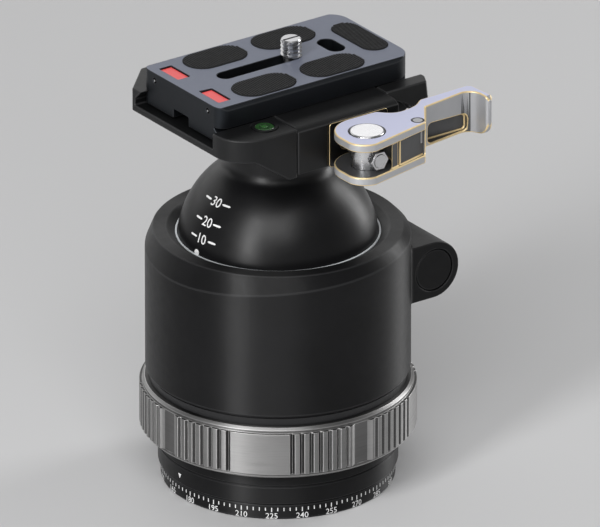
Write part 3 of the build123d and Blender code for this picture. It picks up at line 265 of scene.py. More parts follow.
# ---- Materials ----
class Finish(TreeBuilder):
    """A material with one shader, patterned on the piece's own coordinates."""

    def __init__(self, name):
        self.material = bpy.data.materials.get(name) or bpy.data.materials.new(name)
        self.material.use_nodes = True
        super().__init__(self.material.node_tree)
        self.tree.nodes.clear()
        self.shader = self.add("ShaderNodeBsdfPrincipled")
        self.add("ShaderNodeOutputMaterial", self.shader.outputs[0])
        self.place = self.add("ShaderNodeTexCoord").outputs["Object"]

    def set(self, **values):
        """Feeds the shader's sockets by name, underscores standing for spaces."""
        for name, value in values.items():
            self.feed(self.shader.inputs[name.replace("_", " ")], value)

    def noise(self, scale, detail, stretch=(1, 1, 1)):
        """Noise with a scale in cycles a metre."""
        place = self.node("ShaderNodeMapping", self.place, Scale=stretch)
        return self.node("ShaderNodeTexNoise", place, Scale=scale, Detail=detail)

    def spread(self, noise, low, high):
        """Maps 0.3 to 0.7 of a noise, where most of it lies, onto a range."""
        return self.node("ShaderNodeMapRange", noise, 0.3, 0.7, low, high)

    def mixed(self, share, low, high):
        """Colour between two colours or sockets."""
        mix = self.add("ShaderNodeMix", share, data_type="RGBA")
        for socket, value in zip(mix.inputs[6:8], (low, high)):
            self.feed(socket, value if isinstance(value, NodeSocket) else (*value, 1))
        return mix.outputs[2]

    def cloud(self, scale, detail, tint, dark, light):
        """A base colour that drifts between a darker and a lighter shade of itself."""
        share = self.spread(self.noise(scale, detail), 0.0, 1.0)
        self.set(Base_Color=self.mixed(share, shade(tint, dark), shade(tint, light)))

    def bump(self, height, distance):
        """Relief from a height value."""
        self.set(Normal=self.node("ShaderNodeBump", Height=height, Distance=distance))

    def mark(self, name):
        """A mark on the piece's faces, from 0 to 1."""
        return self.add("ShaderNodeAttribute", attribute_name=name).outputs["Fac"]

    def over(self, name, tint, share=1.0):
        """Another colour on the faces that carry a mark."""
        base = self.shader.inputs["Base Color"]
        part = self.math("MULTIPLY", self.mark(name), share)
        self.feed(base, self.mixed(part, base.links[0].from_socket, tint))

    def round_the_axis(self, amount):
        """Turning marks run round the vertical axis, so gloss spreads up and down."""
        split = self.add("ShaderNodeSeparateXYZ", self.place)
        way = self.vector(self.math("MULTIPLY", split.outputs["Y"], -1.0), split.outputs["X"])
        world = self.node(
            "ShaderNodeVectorTransform", way, convert_from="OBJECT", convert_to="WORLD"
        )
        self.set(Tangent=self.node("ShaderNodeVectorMath", world, operation="NORMALIZE"))
        self.set(Anisotropic=amount, Anisotropic_Rotation=0.25)


def shade(tint, factor):
    """A colour made lighter or darker."""
    return tuple(min(1.0, channel * factor) for channel in tint)


def anodised(name, tint, rough, grain, lathe=0.0, gloss=(1.0, 1.0, 1.0)):
    """Dyed anodised aluminium: satin, with a fine blasted grain, or turned on a lathe; marked top
    faces take a painted paler colour and rounded edges a faint painted highlight.
    """
    made, tints = Finish(name), bpy.context.scene.head_colours
    made.set(Specular_IOR_Level=0.32, Specular_Tint=(*gloss, 1))
    if lathe:
        made.round_the_axis(lathe)
    made.cloud(60.0, 4.0, tint, 0.75, 1.3)
    made.set(Roughness=made.spread(made.noise(420.0, 3.0), rough * 0.95, rough * 1.05))
    made.bump(made.noise(9000.0, 1.0), 0.0035 * MM * grain)
    # Painted light on a marked top face
    made.over("top", tints.lit_plate_top)
    # Painted highlight on the rounded edges
    made.over("edge", tints.glinting, 0.08)
    return made.material


def turned(name, tint, rough, lines):
    """Bare metal with fine turning marks round the vertical axis, painted shade on marked faces
    and painted highlights on its edges.
    """
    made = Finish(name)
    made.set(Metallic=1.0)
    made.round_the_axis(0.75)
    made.cloud(45.0, 3.0, tint, 0.88, 1.1)
    # Painted shade on groove walls, level faces and recess floors
    made.over("groove", shade(tint, 0.3))
    # Painted highlight on rounded edges and recess slopes
    made.over("edge", shade(tint, 1.9), 0.7)
    marks = made.noise(1.0, 4.0, (60.0, 60.0, lines))
    made.set(Roughness=made.spread(marks, rough * 0.75, rough * 1.3))
    made.bump(marks, 0.006 * MM)
    return made.material


def bright_metal(name, tint, rough, rim):
    """Polished metal with faint hand marks, a painted highlight on its top, painted shade on its
    marked rims and recesses, and edges in a given colour.
    """
    made = Finish(name)
    made.set(Metallic=1.0)
    made.cloud(70.0, 3.0, tint, 0.92, 1.05)
    # Painted highlight: a paler top face
    made.over("top", shade(tint, 1.55))
    # On the black steel this edge colour is a painted warm glint
    made.over("edge", rim)
    # Painted shade on marked rims and recesses
    made.over("recess", shade(tint, 0.03))
    marks = made.noise(1.0, 3.0, (60.0, 500.0, 500.0))
    made.set(Roughness=made.spread(marks, rough * 0.9, rough * 1.15))
    made.bump(marks, 0.0006 * MM)
    return made.material


def cast_lever(name, tint, top, rim):
    """Silver lever: satin faces, a paler top that is partly painted light, painted shade in its
    recesses and a painted warm glint on its edges.
    """
    made = Finish(name)
    made.cloud(70.0, 3.0, tint, 0.93, 1.05)
    # Partly painted light: the paler top face
    made.over("top", top)
    # Painted shade in the pocket, web, inner fork and pin seats
    made.over("recess", shade(tint, 0.12), 0.9)
    # Painted highlight: a warm glint on the rounded edges
    made.over("edge", rim)
    # The top face is blasted: duller and rougher than the sides
    rough = made.spread(made.noise(600.0, 3.0), 0.38, 0.46)
    made.set(Metallic=made.math("MULTIPLY_ADD", made.mark("top"), -0.35, 0.6))
    made.set(Roughness=made.math("MULTIPLY_ADD", made.mark("top"), 0.16, rough))
    made.bump(made.noise(3800.0, 2.0), 0.0012 * MM)
    return made.material


def moulded(name, tint, rough, grain):
    """Moulded plastic or rubber with a fine skin."""
    made = Finish(name)
    made.cloud(80.0, 3.0, tint, 0.85, 1.15)
    made.set(Roughness=made.spread(made.noise(700.0, 2.0), rough * 0.9, min(1.0, rough * 1.1)))
    made.bump(made.noise(5200.0, 2.0), 0.006 * MM * grain)
    return made.material


def painted_marks(name, tint):
    """White print of the scales."""
    made = Finish(name)
    made.cloud(900.0, 3.0, tint, 0.9, 1.0)
    made.set(Roughness=made.spread(made.noise(900.0, 3.0), 0.45, 0.6))
    return made.material


def vial_fluid(name, tint):
    """Clear vial over green fluid."""
    made = Finish(name)
    made.set(Roughness=0.06, IOR=1.46, Transmission_Weight=0.35)
    made.set(Coat_Weight=1.0, Coat_Roughness=0.03)
    made.cloud(500.0, 2.0, tint, 0.8, 1.2)
    return made.material


PLATE_GLOSS = (0.78, 0.88, 1.0)


def finishes():
    """Every finish by the name of its slot in the record."""
    tints = bpy.context.scene.head_colours
    # The lever's edge colour is a painted warm glint, given to the black steel's edges too
    rim, spring = tints.lever_edge_glint, shade(tints.steel, 0.6)
    return {
        "body_black": anodised("Anodised body", tints.housing, 0.50, 1.0, lathe=0.9),
        "band_black": anodised("Anodised band", tints.housing, 0.50, 1.0, lathe=0.9),
        "ball_black": anodised("Anodised ball", tints.ball, 0.36, 0.8),
        "clamp_black": anodised("Anodised clamp", tints.clamp, 0.42, 1.3),
        "plate_black": anodised("Anodised plate", tints.plate, 0.44, 1.4, gloss=PLATE_GLOSS),
        "ring_grey": turned("Turned ring", tints.ring, 0.46, 5200.0),
        "lever_silver": cast_lever("Silver lever", tints.lever, tints.lit_lever_top, rim),
        "hardware_steel": bright_metal("Bright steel", tints.steel, 0.26, tints.steel),
        "dark_steel": bright_metal("Black steel", tints.dark_steel, 0.36, rim),
        "spring_steel": bright_metal("Spring steel", spring, 0.34, spring),
        "bronze": turned("Bronze", tints.bronze, 0.36, 3000.0),
        "rim_white": moulded("Pale rim", tints.rim, 0.40, 0.5),
        "slip_plastic": moulded("Dark slip plastic", tints.slip, 0.42, 0.5),
        "pad_rubber": moulded("Pad rubber", tints.rubber, 0.72, 2.0),
        "insert_red": moulded("Red insert", tints.insert, 0.34, 0.6),
        "vial_green": vial_fluid("Vial fluid", tints.vial),
    }


# ---- Meshes ----
def in_scene(name, data):
    """A new object of the scene, made of a mesh or other data."""
    made = bpy.data.objects.new(name, data)
    bpy.context.scene.collection.objects.link(made)
    return made


def paint(mesh, *materials):
    """Gives a mesh its materials."""
    mesh.materials.clear()
    for material in materials:
        mesh.materials.append(material)


def modify(made, kind, **settings):
    """Puts a modifier on an object."""
    modifier = made.modifiers.new(kind, kind)
    for name, value in settings.items():
        setattr(modifier, name, value)
    return modifier


def piece(name, mesh, material, body, slot, replaced=()):
    """Makes a piece of a mesh, in its body; its slot is not used."""
    made = in_scene(name, mesh)
    paint(mesh, material)
    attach(made, body)
    if replaced:
        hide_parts(*replaced)
    return made


def plain_mesh(made):
    """A new mesh of an object's shape with its modifiers."""
    graph = bpy.context.evaluated_depsgraph_get()
    return bpy.data.meshes.new_from_object(made.evaluated_get(graph))


def settle(made):
    """Turns an object's live modifiers into plain mesh."""
    old, mesh = made.data, plain_mesh(made)
    made.modifiers.clear()
    made.data = mesh
    if old.users == 0:
        bpy.data.meshes.remove(old)


def taken(made):
    """The plain mesh of an object, which leaves the scene."""
    settle(made)
    mesh = made.data
    bpy.data.objects.remove(made)
    return mesh


def mesh_of(work, name):
    """The mesh of a bmesh, which is freed."""
    mesh = bpy.data.meshes.new(name)
    work.to_mesh(mesh)
    work.free()
    return mesh


def shade_by_angle(mesh, degrees):
    """Smooth faces with sharp edges above an angle."""
    mesh.shade_smooth()
    mesh.set_sharp_from_angle(angle=radians(degrees))


def mark_faces(mesh, name, values):
    """Keeps a value for each face, which a finish can read."""
    marks = mesh.attributes.new(name, "FLOAT", "FACE")
    marks.data.foreach_set("value", [float(value) for value in values])


def rounded_copy(node, width, segments=3, limit=28.0):
    """A copy of a CAD node with the edges above an angle rounded and marked."""
    work = bmesh.new()
    work.from_mesh(NODES[node].data)
    bmesh.ops.remove_doubles(work, verts=work.verts, dist=MERGE)
    bmesh.ops.dissolve_limit(work, angle_limit=radians(0.6), verts=work.verts, edges=work.edges)
    made = in_scene(node + "_shape", mesh_of(work, node))
    # The bevel's own faces go to a second slot for a moment, to be marked as edges
    paint(made.data, None, None)
    bevel = modify(made, "BEVEL", width=width, segments=segments, material=1)
    bevel.limit_method, bevel.angle_limit = "ANGLE", radians(limit)
    bevel.use_clamp_overlap, bevel.miter_outer = False, "MITER_ARC"
    settle(made)
    shade_by_angle(made.data, limit)
    # Broad faces stay flat, and only the narrow rounded ones carry the turn of the light
    modify(made, "WEIGHTED_NORMAL", keep_sharp=True)
    result = taken(made)
    mark_faces(result, "edge", [face.material_index for face in result.polygons])
    result.polygons.foreach_set("material_index", [0] * len(result.polygons))
    return result


def dress(node, slots, width, **options):
    """Replaces a CAD node by its copy with rounded edges."""
    slot, body = SLOTS[node], NODES[node]["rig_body"]
    mesh = rounded_copy(node, width, **options)
    return piece(node + "_rounded", mesh, slots[slot], body, slot, (node,))


def joined(meshes, name):
    """One mesh of several (mesh, matrix) pairs."""
    work = bmesh.new()
    for mesh, matrix in meshes:
        mesh.transform(matrix)
        work.from_mesh(mesh)
        bpy.data.meshes.remove(mesh)
    return mesh_of(work, name)


def circle(radius, steps):
    """Points of a circle."""
    turns = [tau * step / steps for step in range(steps)]
    return [(radius * cos(turn), radius * sin(turn)) for turn in turns]


def turned_mesh(name, outline, steps):
    """A closed outline of (radius, height) points turned round the vertical axis."""
    work = bmesh.new()
    rings = [[work.verts.new((x, y, z)) for x, y in circle(r, steps)] for r, z in outline]
    for lower, upper in zip(rings, rings[1:] + rings[:1]):
        for step in range(steps):
            after = (step + 1) % steps
            work.faces.new((lower[step], lower[after], upper[after], upper[step]))
    bmesh.ops.remove_doubles(work, verts=work.verts, dist=MERGE / 2)
    bmesh.ops.recalc_face_normals(work, faces=work.faces)
    return mesh_of(work, name)


def block_mesh(low, high):
    """A block between two corners."""
    work = bmesh.new()
    bmesh.ops.create_cube(work, size=1.0)
    low, high = Vector(low), Vector(high)
    for vert in work.verts:
        vert.co = (low + high) / 2 + Vector(a * b for a, b in zip(vert.co, high - low))
    return mesh_of(work, "block")


def cut(mesh, tool):
    """The mesh less a cutting mesh."""
    body, knife = in_scene("cut body", mesh), in_scene("cut tool", tool)
    modify(body, "BOOLEAN", operation="DIFFERENCE", solver="EXACT", object=knife)
    result = taken(body)
    bpy.data.objects.remove(knife)
    return result


# ---- Node trees that build shapes ----
class ShapeTree(TreeBuilder):
    """A Geometry Nodes tree with named inputs, run by a modifier of its own."""

    def __init__(self, name, **inputs):
        super().__init__(bpy.data.node_groups.new(name, "GeometryNodeTree"))
        self.values = inputs
        sockets = self.tree.interface
        for side in ("INPUT", "OUTPUT"):
            sockets.new_socket("Geometry", in_out=side, socket_type="NodeSocketGeometry")
        for label, value in inputs.items():
            kind = {int: "Int", float: "Float"}.get(type(value), "Material")
            sockets.new_socket(label, in_out="INPUT", socket_type="NodeSocket" + kind)
        self.start = self.add("NodeGroupInput")

    def __getitem__(self, label):
        """Socket of a named input."""
        return self.start.outputs[label]

    def moved(self, geometry, **place):
        """Geometry that is moved, turned or scaled."""
        return self.node("GeometryNodeTransform", geometry, **place)

    def mesh(self, geometry):
        """Ends the tree in the given material, runs it and returns the plain mesh."""
        real = self.node("GeometryNodeRealizeInstances", geometry)
        painted = self.node("GeometryNodeSetMaterial", real, Material=self["Material"])
        self.add("NodeGroupOutput", painted)
        made = in_scene(self.tree.name, bpy.data.meshes.new(self.tree.name))
        modifier = modify(made, "NODES", node_group=self.tree)
        for socket in self.tree.interface.items_tree:
            if socket.name in self.values:
                modifier[socket.identifier] = self.values[socket.name]
        return taken(made)


COIL_STEPS = 48  # in one turn


def coil_mesh(name, radius, wire, pitch, length, material, corners, turn=0.0):
    """A wire of round or three-cornered section wound along +Z; turn 0 points a corner inwards."""
    sizes = {"Radius": radius, "Wire": wire, "Pitch": pitch, "Length": length, "Turn": turn}
    tree = ShapeTree(name, **sizes, Corners=corners, Steps=COIL_STEPS, Material=material)
    spiral = tree.node(
        "GeometryNodeCurveSpiral",
        Resolution=tree["Steps"],
        Rotations=tree.math("DIVIDE", tree["Length"], tree["Pitch"]),
        Start_Radius=tree["Radius"],
        End_Radius=tree["Radius"],
        Height=tree["Length"],
    )
    upright = tree.node("GeometryNodeSetCurveNormal", spiral, mode="Z_UP")
    section = tree.node(
        "GeometryNodeCurvePrimitiveCircle", Resolution=tree["Corners"], Radius=tree["Wire"]
    )
    section = tree.moved(section, Rotation=tree.vector(z=tree["Turn"]))
    wound = tree.node("GeometryNodeCurveToMesh", upright, section, Fill_Caps=True)
    return tree.mesh(wound)


def tick_ring(radius, scales, material):
    """The pan scale's ticks, the numbered ones longer, hanging from one height."""
    labels = ("Every", "Step", "Zero", "Top", "Short", "Long", "Width")
    sizes = {label: getattr(scales, "pan_" + label.lower()) for label in labels}
    sizes |= {"Count": round(tau / scales.pan_step), "Depth": 2 * scales.proud}
    tree = ShapeTree("Pan ticks", **sizes, Radius=radius, Material=material)
    spots = tree.node("GeometryNodeMeshCircle", Vertices=tree["Count"], Radius=tree["Radius"])
    index = tree.node("GeometryNodeInputIndex")
    first = tree.math("LESS_THAN", tree.math("MODULO", index, tree["Every"]), 0.5)
    extra = tree.math("SUBTRACT", tree["Long"], tree["Short"])
    length = tree.math("MULTIPLY_ADD", first, extra, tree["Short"])
    bar = tree.node("GeometryNodeMeshCube", tree.vector(tree["Depth"], tree["Width"], 1.0))
    ticks = tree.node(
        "GeometryNodeInstanceOnPoints",
        spots,
        Instance=tree.moved(bar, Translation=(0.0, 0.0, -0.5)),
        Rotation=tree.vector(z=tree.math("MULTIPLY", index, tree["Step"])),
        Scale=tree.vector(1.0, 1.0, length),
    )
    top, zero = tree.vector(z=tree["Top"]), tree.vector(z=tree["Zero"])
    return tree.mesh(tree.moved(ticks, Translation=top, Rotation=zero))


def ribbed_pad(length, width, foot, top, pads, material):
    """A rubber pad with round ends, its top crossed by fine ribs."""
    sizes = {"Length": length, "Width": width, "Foot": foot, "Top": top}
    ribs = {"Pitch": pads.pitch, "Rib": pads.width, "Height": pads.height}
    tree = ShapeTree("Ribbed pad", **sizes, **ribs, Material=material)
    half_w = tree.math("MULTIPLY", tree["Width"], 0.4999)
    join = tree.add("GeometryNodeJoinGeometry")
    tree.feed(join.inputs[0], *pad_slab(tree, half_w), pad_ribs(tree, half_w))
    return tree.mesh(join.outputs[0])


def pad_slab(tree, half_w):
    """Body and underside of a pad: a rectangle with round ends, raised to the ribs' foot."""
    outline = tree.node(
        "GeometryNodeCurvePrimitiveQuadrilateral", Width=tree["Length"], Height=tree["Width"]
    )
    round_ends = tree.node(
        "GeometryNodeFilletCurve", outline, Radius=half_w, Count=14, Limit_Radius=True, mode="POLY"
    )
    sheet = tree.node("GeometryNodeFillCurve", round_ends, mode="NGONS")
    low = tree.moved(sheet, Translation=tree.vector(z=tree["Foot"]))
    floor = tree.math("SUBTRACT", tree["Top"], tree["Height"])
    slab = tree.node(
        "GeometryNodeExtrudeMesh",
        low,
        Offset=tree.vector(z=1.0),
        Offset_Scale=tree.math("SUBTRACT", floor, tree["Foot"]),
        Individual=False,
        mode="FACES",
    )
    return slab, tree.node("GeometryNodeFlipFaces", low)


def pad_ribs(tree, half_w):
    """Ribs across a pad, each as long as the pad is wide where it stands."""
    count = tree.math("FLOOR", tree.math("DIVIDE", tree["Length"], tree["Pitch"]))
    reach = tree.math("MULTIPLY", tree.math("SUBTRACT", count, 1.0), tree["Pitch"])
    start, step = tree.vector(tree.math("MULTIPLY", reach, -0.5)), tree.vector(tree["Pitch"])
    line = tree.node("GeometryNodeMeshLine", Count=count, Start_Location=start, Offset=step)
    along = tree.node("ShaderNodeSeparateXYZ", tree.node("GeometryNodeInputPosition"))
    straight = tree.math("MULTIPLY", tree.math("SUBTRACT", tree["Length"], tree["Width"]), 0.5)
    beyond = tree.math("SUBTRACT", tree.math("ABSOLUTE", along), straight)
    past = tree.math("MAXIMUM", beyond, 0.0)
    square = tree.math("MULTIPLY", half_w, half_w)
    left = tree.math("SUBTRACT", square, tree.math("MULTIPLY", past, past))
    span = tree.math("MULTIPLY", tree.math("SQRT", left), 1.97)
    bar = tree.node("GeometryNodeMeshCube", tree.vector(tree["Rib"], 1.0, 1.0))
    scale = tree.vector(1.0, span, tree["Height"])
    ribs = tree.node("GeometryNodeInstanceOnPoints", line, Instance=bar, Scale=scale)
    middle = tree.math("MULTIPLY_ADD", tree["Height"], -0.5, tree["Top"])
    return tree.moved(ribs, Translation=tree.vector(z=middle))


# ---- Flat print and the surfaces that it lies on ----
def number_outline(text, height):
    """Flat faces of a number, centred, scaled to a height."""
    curve = bpy.data.curves.new("number", "FONT")
    curve.body = text
    curve.offset = bpy.context.scene.head_scales.weight
    curve.align_x = "CENTER"
    curve.resolution_u = 3
    made = in_scene("number", curve)
    mesh = plain_mesh(made)
    bpy.data.objects.remove(made)
    xs, ys, _ = zip(*(vert.co for vert in mesh.vertices))
    faces = [tuple(face.vertices) for face in mesh.polygons]
    bpy.data.meshes.remove(mesh)
    middle_x, middle_y = (min(xs) + max(xs)) / 2, (min(ys) + max(ys)) / 2
    factor = height / (max(ys) - min(ys))
    return [((x - middle_x) * factor, (y - middle_y) * factor) for x, y in zip(xs, ys)], faces


def strip(length, width, steps=8):
    """Flat faces of a dash with round ends, centred."""
    points = []
    for step in range(steps + 1):
        x = length * (step / steps - 0.5)
        inset = max(0.0, abs(x) - (length - width) / 2)
        half = sqrt(max(0.0, (width / 2) ** 2 - inset**2)) or width * 0.1
        points += [(x, -half), (x, half)]
    return points, [(base, base + 2, base + 3, base + 1) for base in range(0, 2 * steps, 2)]


def disc(radius, steps=24):
    """Flat face of a round dot."""
    return circle(radius, steps), [tuple(range(steps))]


def on_cylinder(radius, turn, height):
    """Placing function on an upright cylinder, x running right as seen from outside."""

    def place(x, y):
        side = turn + x / radius
        return radius * cos(side), radius * sin(side), height + y

    return place


def on_sphere(centre, radius, turn, rise):
    """Placing function on a sphere round (0, 0, centre)."""

    def place(x, y):
        high = rise + y / radius
        side = turn + x / (radius * cos(rise))
        flat = radius * cos(high)
        return flat * cos(side), flat * sin(side), centre + radius * sin(high)

    return place


def print_on(shapes, name):
    """One mesh of flat shapes, each laid on a surface by its own placing function."""
    points, faces = [], []
    for (flat, flat_faces), place in shapes:
        start = len(points)
        points += [place(x, y) for x, y in flat]
        faces += [tuple(index + start for index in face) for face in flat_faces]
    mesh = bpy.data.meshes.new(name)
    mesh.from_pydata(points, [], faces)
    mesh.update()
    return mesh


# ---- Operators ----
class FinishOperator(Operator):
    """Gives every CAD node the finish of its slot"""

    bl_idname = "ball_head.finishes"
    bl_label = "Finishes"

    def execute(self, context):
        slots = finishes()
        for node, slot in SLOTS.items():
            paint(NODES[node].data, slots[slot])
        return {"FINISHED"}


class BodyOperator(Operator):
    """Rounds the edges of the base, the housing with its plugs and the lock ring"""

    bl_idname = "ball_head.body"
    bl_label = "Body and ring"

    def execute(self, context):
        edges, slots = context.scene.head_edges, finishes()
        for node in ("base_disc", "lower_housing", "boss_plugs"):
            dress(node, slots, edges.body)
        dress("main_housing", slots, edges.body, limit=15.0)
        mark_ring_shade_and_glints(dress("lock_ring", slots, edges.ring, segments=2).data)
        return {"FINISHED"}


# How far a face of the lock ring looks outwards: the cosine of its angle to the radius
WALL = (0.5, 0.8)  # of a V groove
SLOPE = (0.82, 0.9)  # at the end of a recess
RECESS = (0.5 * MM, 1.5 * MM)  # depths between which a recess's floor lies


def mark_ring_shade_and_glints(mesh):
    """Marks painted shade on the lock ring's level faces and groove walls, half of it on its
    recess floors, and a painted highlight on its recess slopes.
    """
    outer = max(vert.co.xy.length for vert in mesh.vertices)
    edges, ring_shade = mesh.attributes["edge"].data, []
    for face in mesh.polygons:
        out = Vector((face.center.x, face.center.y, 0.0))
        facing = face.normal.dot(out.normalized())
        upright, level = abs(face.normal.z) < 0.1, abs(face.normal.z) > 0.95
        # Painted highlight on the slopes at the ends of a recess
        if upright and SLOPE[0] < facing < SLOPE[1]:
            edges[face.index].value = 0.8
        wall = upright and WALL[0] < facing < WALL[1]
        floor = upright and facing > 0.95 and RECESS[0] < outer - out.length < RECESS[1]
        # Painted shade: full on groove walls and level faces, half on recess floors
        ring_shade.append(0.5 * floor + (wall or level))
    mark_faces(mesh, "groove", ring_shade)


class ClampOperator(Operator):
    """Rounds the edges of the clamp, its jaw and the quick plate with its inserts and pins"""

    bl_idname = "ball_head.clamp"
    bl_label = "Clamp and plate"

    def execute(self, context):
        edges, slots = context.scene.head_edges, finishes()
        for node in ("clamp_base", "sliding_jaw"):
            dress(node, slots, edges.clamp)
        # The plate's top face is marked for its painted light
        mark_tops(dress("quick_plate", slots, edges.plate).data)
        dress("plate_inserts", slots, edges.small)
        # The pins' rounded ends take painted shade round a bright middle
        shade_rounded_edges(dress("plate_stops", slots, edges.dome).data)
        return {"FINISHED"}


class LeverOperator(Operator):
    """Rounds the cast lever, its pins and nut and the wear plate under its cam"""

    bl_idname = "ball_head.lever"
    bl_label = "Lever"

    def execute(self, context):
        edges, slots = context.scene.head_edges, finishes()
        # The lever's hollows take painted shade and its top partly painted light
        mark_lever(dress("cam_lever", slots, edges.lever).data)
        # The barrel's top face is marked for its painted highlight
        mark_tops(dress("pivot_barrel", slots, edges.small).data)
        for node in ("stud_nut", "wear_plate"):
            dress(node, slots, edges.small)
        # The rivet's rounded edge takes painted shade
        shade_rounded_edges(dress("lever_rivet", slots, edges.small).data)
        return {"FINISHED"}


def mark_tops(mesh):
    """Marks the faces that look straight up at the top of a mesh."""
    top = max(vert.co.z for vert in mesh.vertices) - 0.2 * MM
    mark_faces(mesh, "top", [f.normal.z > 0.95 and f.center.z > top for f in mesh.polygons])


def shade_rounded_edges(mesh):
    """Turns the edge mark of a mesh into the recess mark, so that its rounded edges take painted
    shade.
    """
    edges = [item.value for item in mesh.attributes["edge"].data]
    mark_faces(mesh, "recess", edges)
    mesh.attributes["edge"].data.foreach_set("value", [0.0] * len(edges))


# Places of the lever's hollows, which take painted shade, from its far end, its back and its level
# faces
POCKET_X, POCKET_Y = (3.5 * MM, 21.0 * MM), (2.0 * MM, 5.2 * MM)
POCKET_TOP = 4.0 * MM
WEB_X, WEB_Z = (26.0 * MM, 41.5 * MM), 2.7 * MM
SKIN = 0.4 * MM  # from a level face inwards, which is no longer the outside
# The pin seats take painted shade in place of the edge glint
SEAT = 0.45 * MM  # width of the dark edge round a pin


def mark_lever(mesh):
    """Marks the lever's top face, and with painted shade its pocket, web, inner fork and pin
    seats.
    """
    low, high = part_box("cam_lever")
    pins = []
    for node in ("lever_rivet", "pivot_barrel"):
        pin_low, pin_high = map(Vector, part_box(node))
        pins.append(((pin_low + pin_high) / 2, (pin_high.x - pin_low.x) / 2 + SEAT))
    edges, recesses = mesh.attributes["edge"].data, []
    for face in mesh.polygons:
        x, y, z = face.center
        along, back, above, under = high[0] - x, high[1] - y, z - low[2], high[2] - z
        inside = min(above, under) > SKIN
        pocket = POCKET_X[0] < along < POCKET_X[1] and POCKET_Y[0] < back < POCKET_Y[1]
        pocket = pocket and inside and under > POCKET_TOP
        fork = along > WEB_X[0] and inside and abs(face.normal.z) > 0.9
        web = WEB_X[0] < along < WEB_X[1] and min(above, under) > WEB_Z and face.normal.y < -0.85
        near = any(hypot(x - pin.x, y - pin.y) < reach for pin, reach in pins)
        seat = near and edges[face.index].value > 0.5
        if seat:
            edges[face.index].value = 0.0
        recesses.append(pocket or web or fork or seat)
    mark_faces(mesh, "recess", recesses)
    mark_tops(mesh)


class PadOperator(Operator):
    """Builds the five ribbed rubber pads of the quick plate"""

    bl_idname = "ball_head.pads"
    bl_label = "Ribbed pads"

    def execute(self, context):
        pads, rubber = context.scene.head_pads, finishes()["pad_rubber"]
        placed = []
        for low, high in solid_boxes("rubber_pads"):
            wide, deep = high.x - low.x, high.y - low.y
            pad = ribbed_pad(max(wide, deep), min(wide, deep), low.z, high.z, pads, rubber)
            turn = Matrix.Rotation(radians(90 if deep > wide else 0), 4, "Z")
            middle = Matrix.Translation(((low.x + high.x) / 2, (low.y + high.y) / 2, 0))
            placed.append((pad, middle @ turn))
        mesh = joined(placed, "Ribbed pads")
        piece("Ribbed_pads", mesh, rubber, "plate", "pad_rubber", ("rubber_pads",))
        return {"FINISHED"}


def solid_boxes(node):
    """Lowest and highest corner of each loose solid of a CAD node."""
    work = bmesh.new()
    work.from_mesh(NODES[node].data)
    bmesh.ops.remove_doubles(work, verts=work.verts, dist=MERGE)
    left, boxes = set(work.verts), []
    while left:
        group, edge = set(), [left.pop()]
        while edge:
            vert = edge.pop()
            group.add(vert)
            near = {link.other_vert(vert) for link in vert.link_edges} & left
            left -= near
            edge += near
        boxes.append([Vector(map(end, *(vert.co for vert in group))) for end in (min, max)])
    work.free()
    return sorted(boxes, key=lambda box: tuple(box[0]))


class ThreadOperator(Operator):
    """Builds the camera screw and the tripod bush with their threads"""

    bl_idname = "ball_head.threads"
    bl_label = "Threads"

    def execute(self, context):
        threads, steel = context.scene.head_threads, finishes()["hardware_steel"]
        build_camera_screw(threads, steel)
        build_tripod_bush(threads, steel)
        return {"FINISHED"}


# The ridge's wire is thicker than the thread is deep, so that its flat side sinks into the core
RIDGE = 0.9  # depth of a thread as a share of its wire's radius


def threaded(name, body, ridge, height):
    """A turned body with a ridge wound round it from a height upwards."""
    raised = Matrix.Translation((0, 0, height))
    mesh = joined([(body, Matrix()), (coil_mesh(name + " thread", *ridge), raised)], name)
    shade_by_angle(mesh, 35)
    return mesh


def build_camera_screw(threads, steel):
    """Slotted screw: wide head under the plate, thread and chamfered tip above it."""
    low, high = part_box("camera_screw")
    middle_x, head_r = (low[0] + high[0]) / 2, (high[0] - low[0]) / 2
    pad_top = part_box("rubber_pads")[1][2]
    bottom, top, head_top = low[2], high[2], low[2] + 3.2 * MM
    radius, edge, neck_r = threads.camera_radius, 0.5 * MM, 2.3 * MM
    core_r, tip_r, thread_top = radius - threads.camera_depth, radius - 0.15 * MM, top - 0.9 * MM
    head = ((0, bottom), (head_r - edge, bottom), (head_r, bottom + edge))
    head += ((head_r, head_top - edge / 2), (head_r - edge / 2, head_top), (neck_r, head_top))
    shank = ((neck_r, pad_top - 1.0 * MM), (core_r, pad_top - 0.4 * MM), (core_r, thread_top))
    tip = ((tip_r, top - 0.65 * MM), (tip_r, top - 0.35 * MM), (radius - edge, top), (0, top))
    body = turned_mesh("screw", head + shank + tip, 64)
    # A slot for a coin in the head, and a narrow one across the tip
    for reach, half, floor, roof in (
        (head_r, 0.7 * MM, bottom - MM, bottom + 1.4 * MM),
        (radius * 2, 0.42 * MM, top - 0.8 * MM, top + MM),
    ):
        body = cut(body, block_mesh((-reach, -half, floor), (reach, half, roof)))
    wire = threads.camera_depth / RIDGE
    ridge = (radius - wire, wire, threads.camera_pitch, thread_top - pad_top, steel, 3, pi)
    mesh = threaded("Camera screw", body, ridge, pad_top)
    mesh.transform(Matrix.Translation((middle_x, 0, 0)))
    piece("Camera_screw_threaded", mesh, steel, "screw", "hardware_steel", ("camera_screw",))


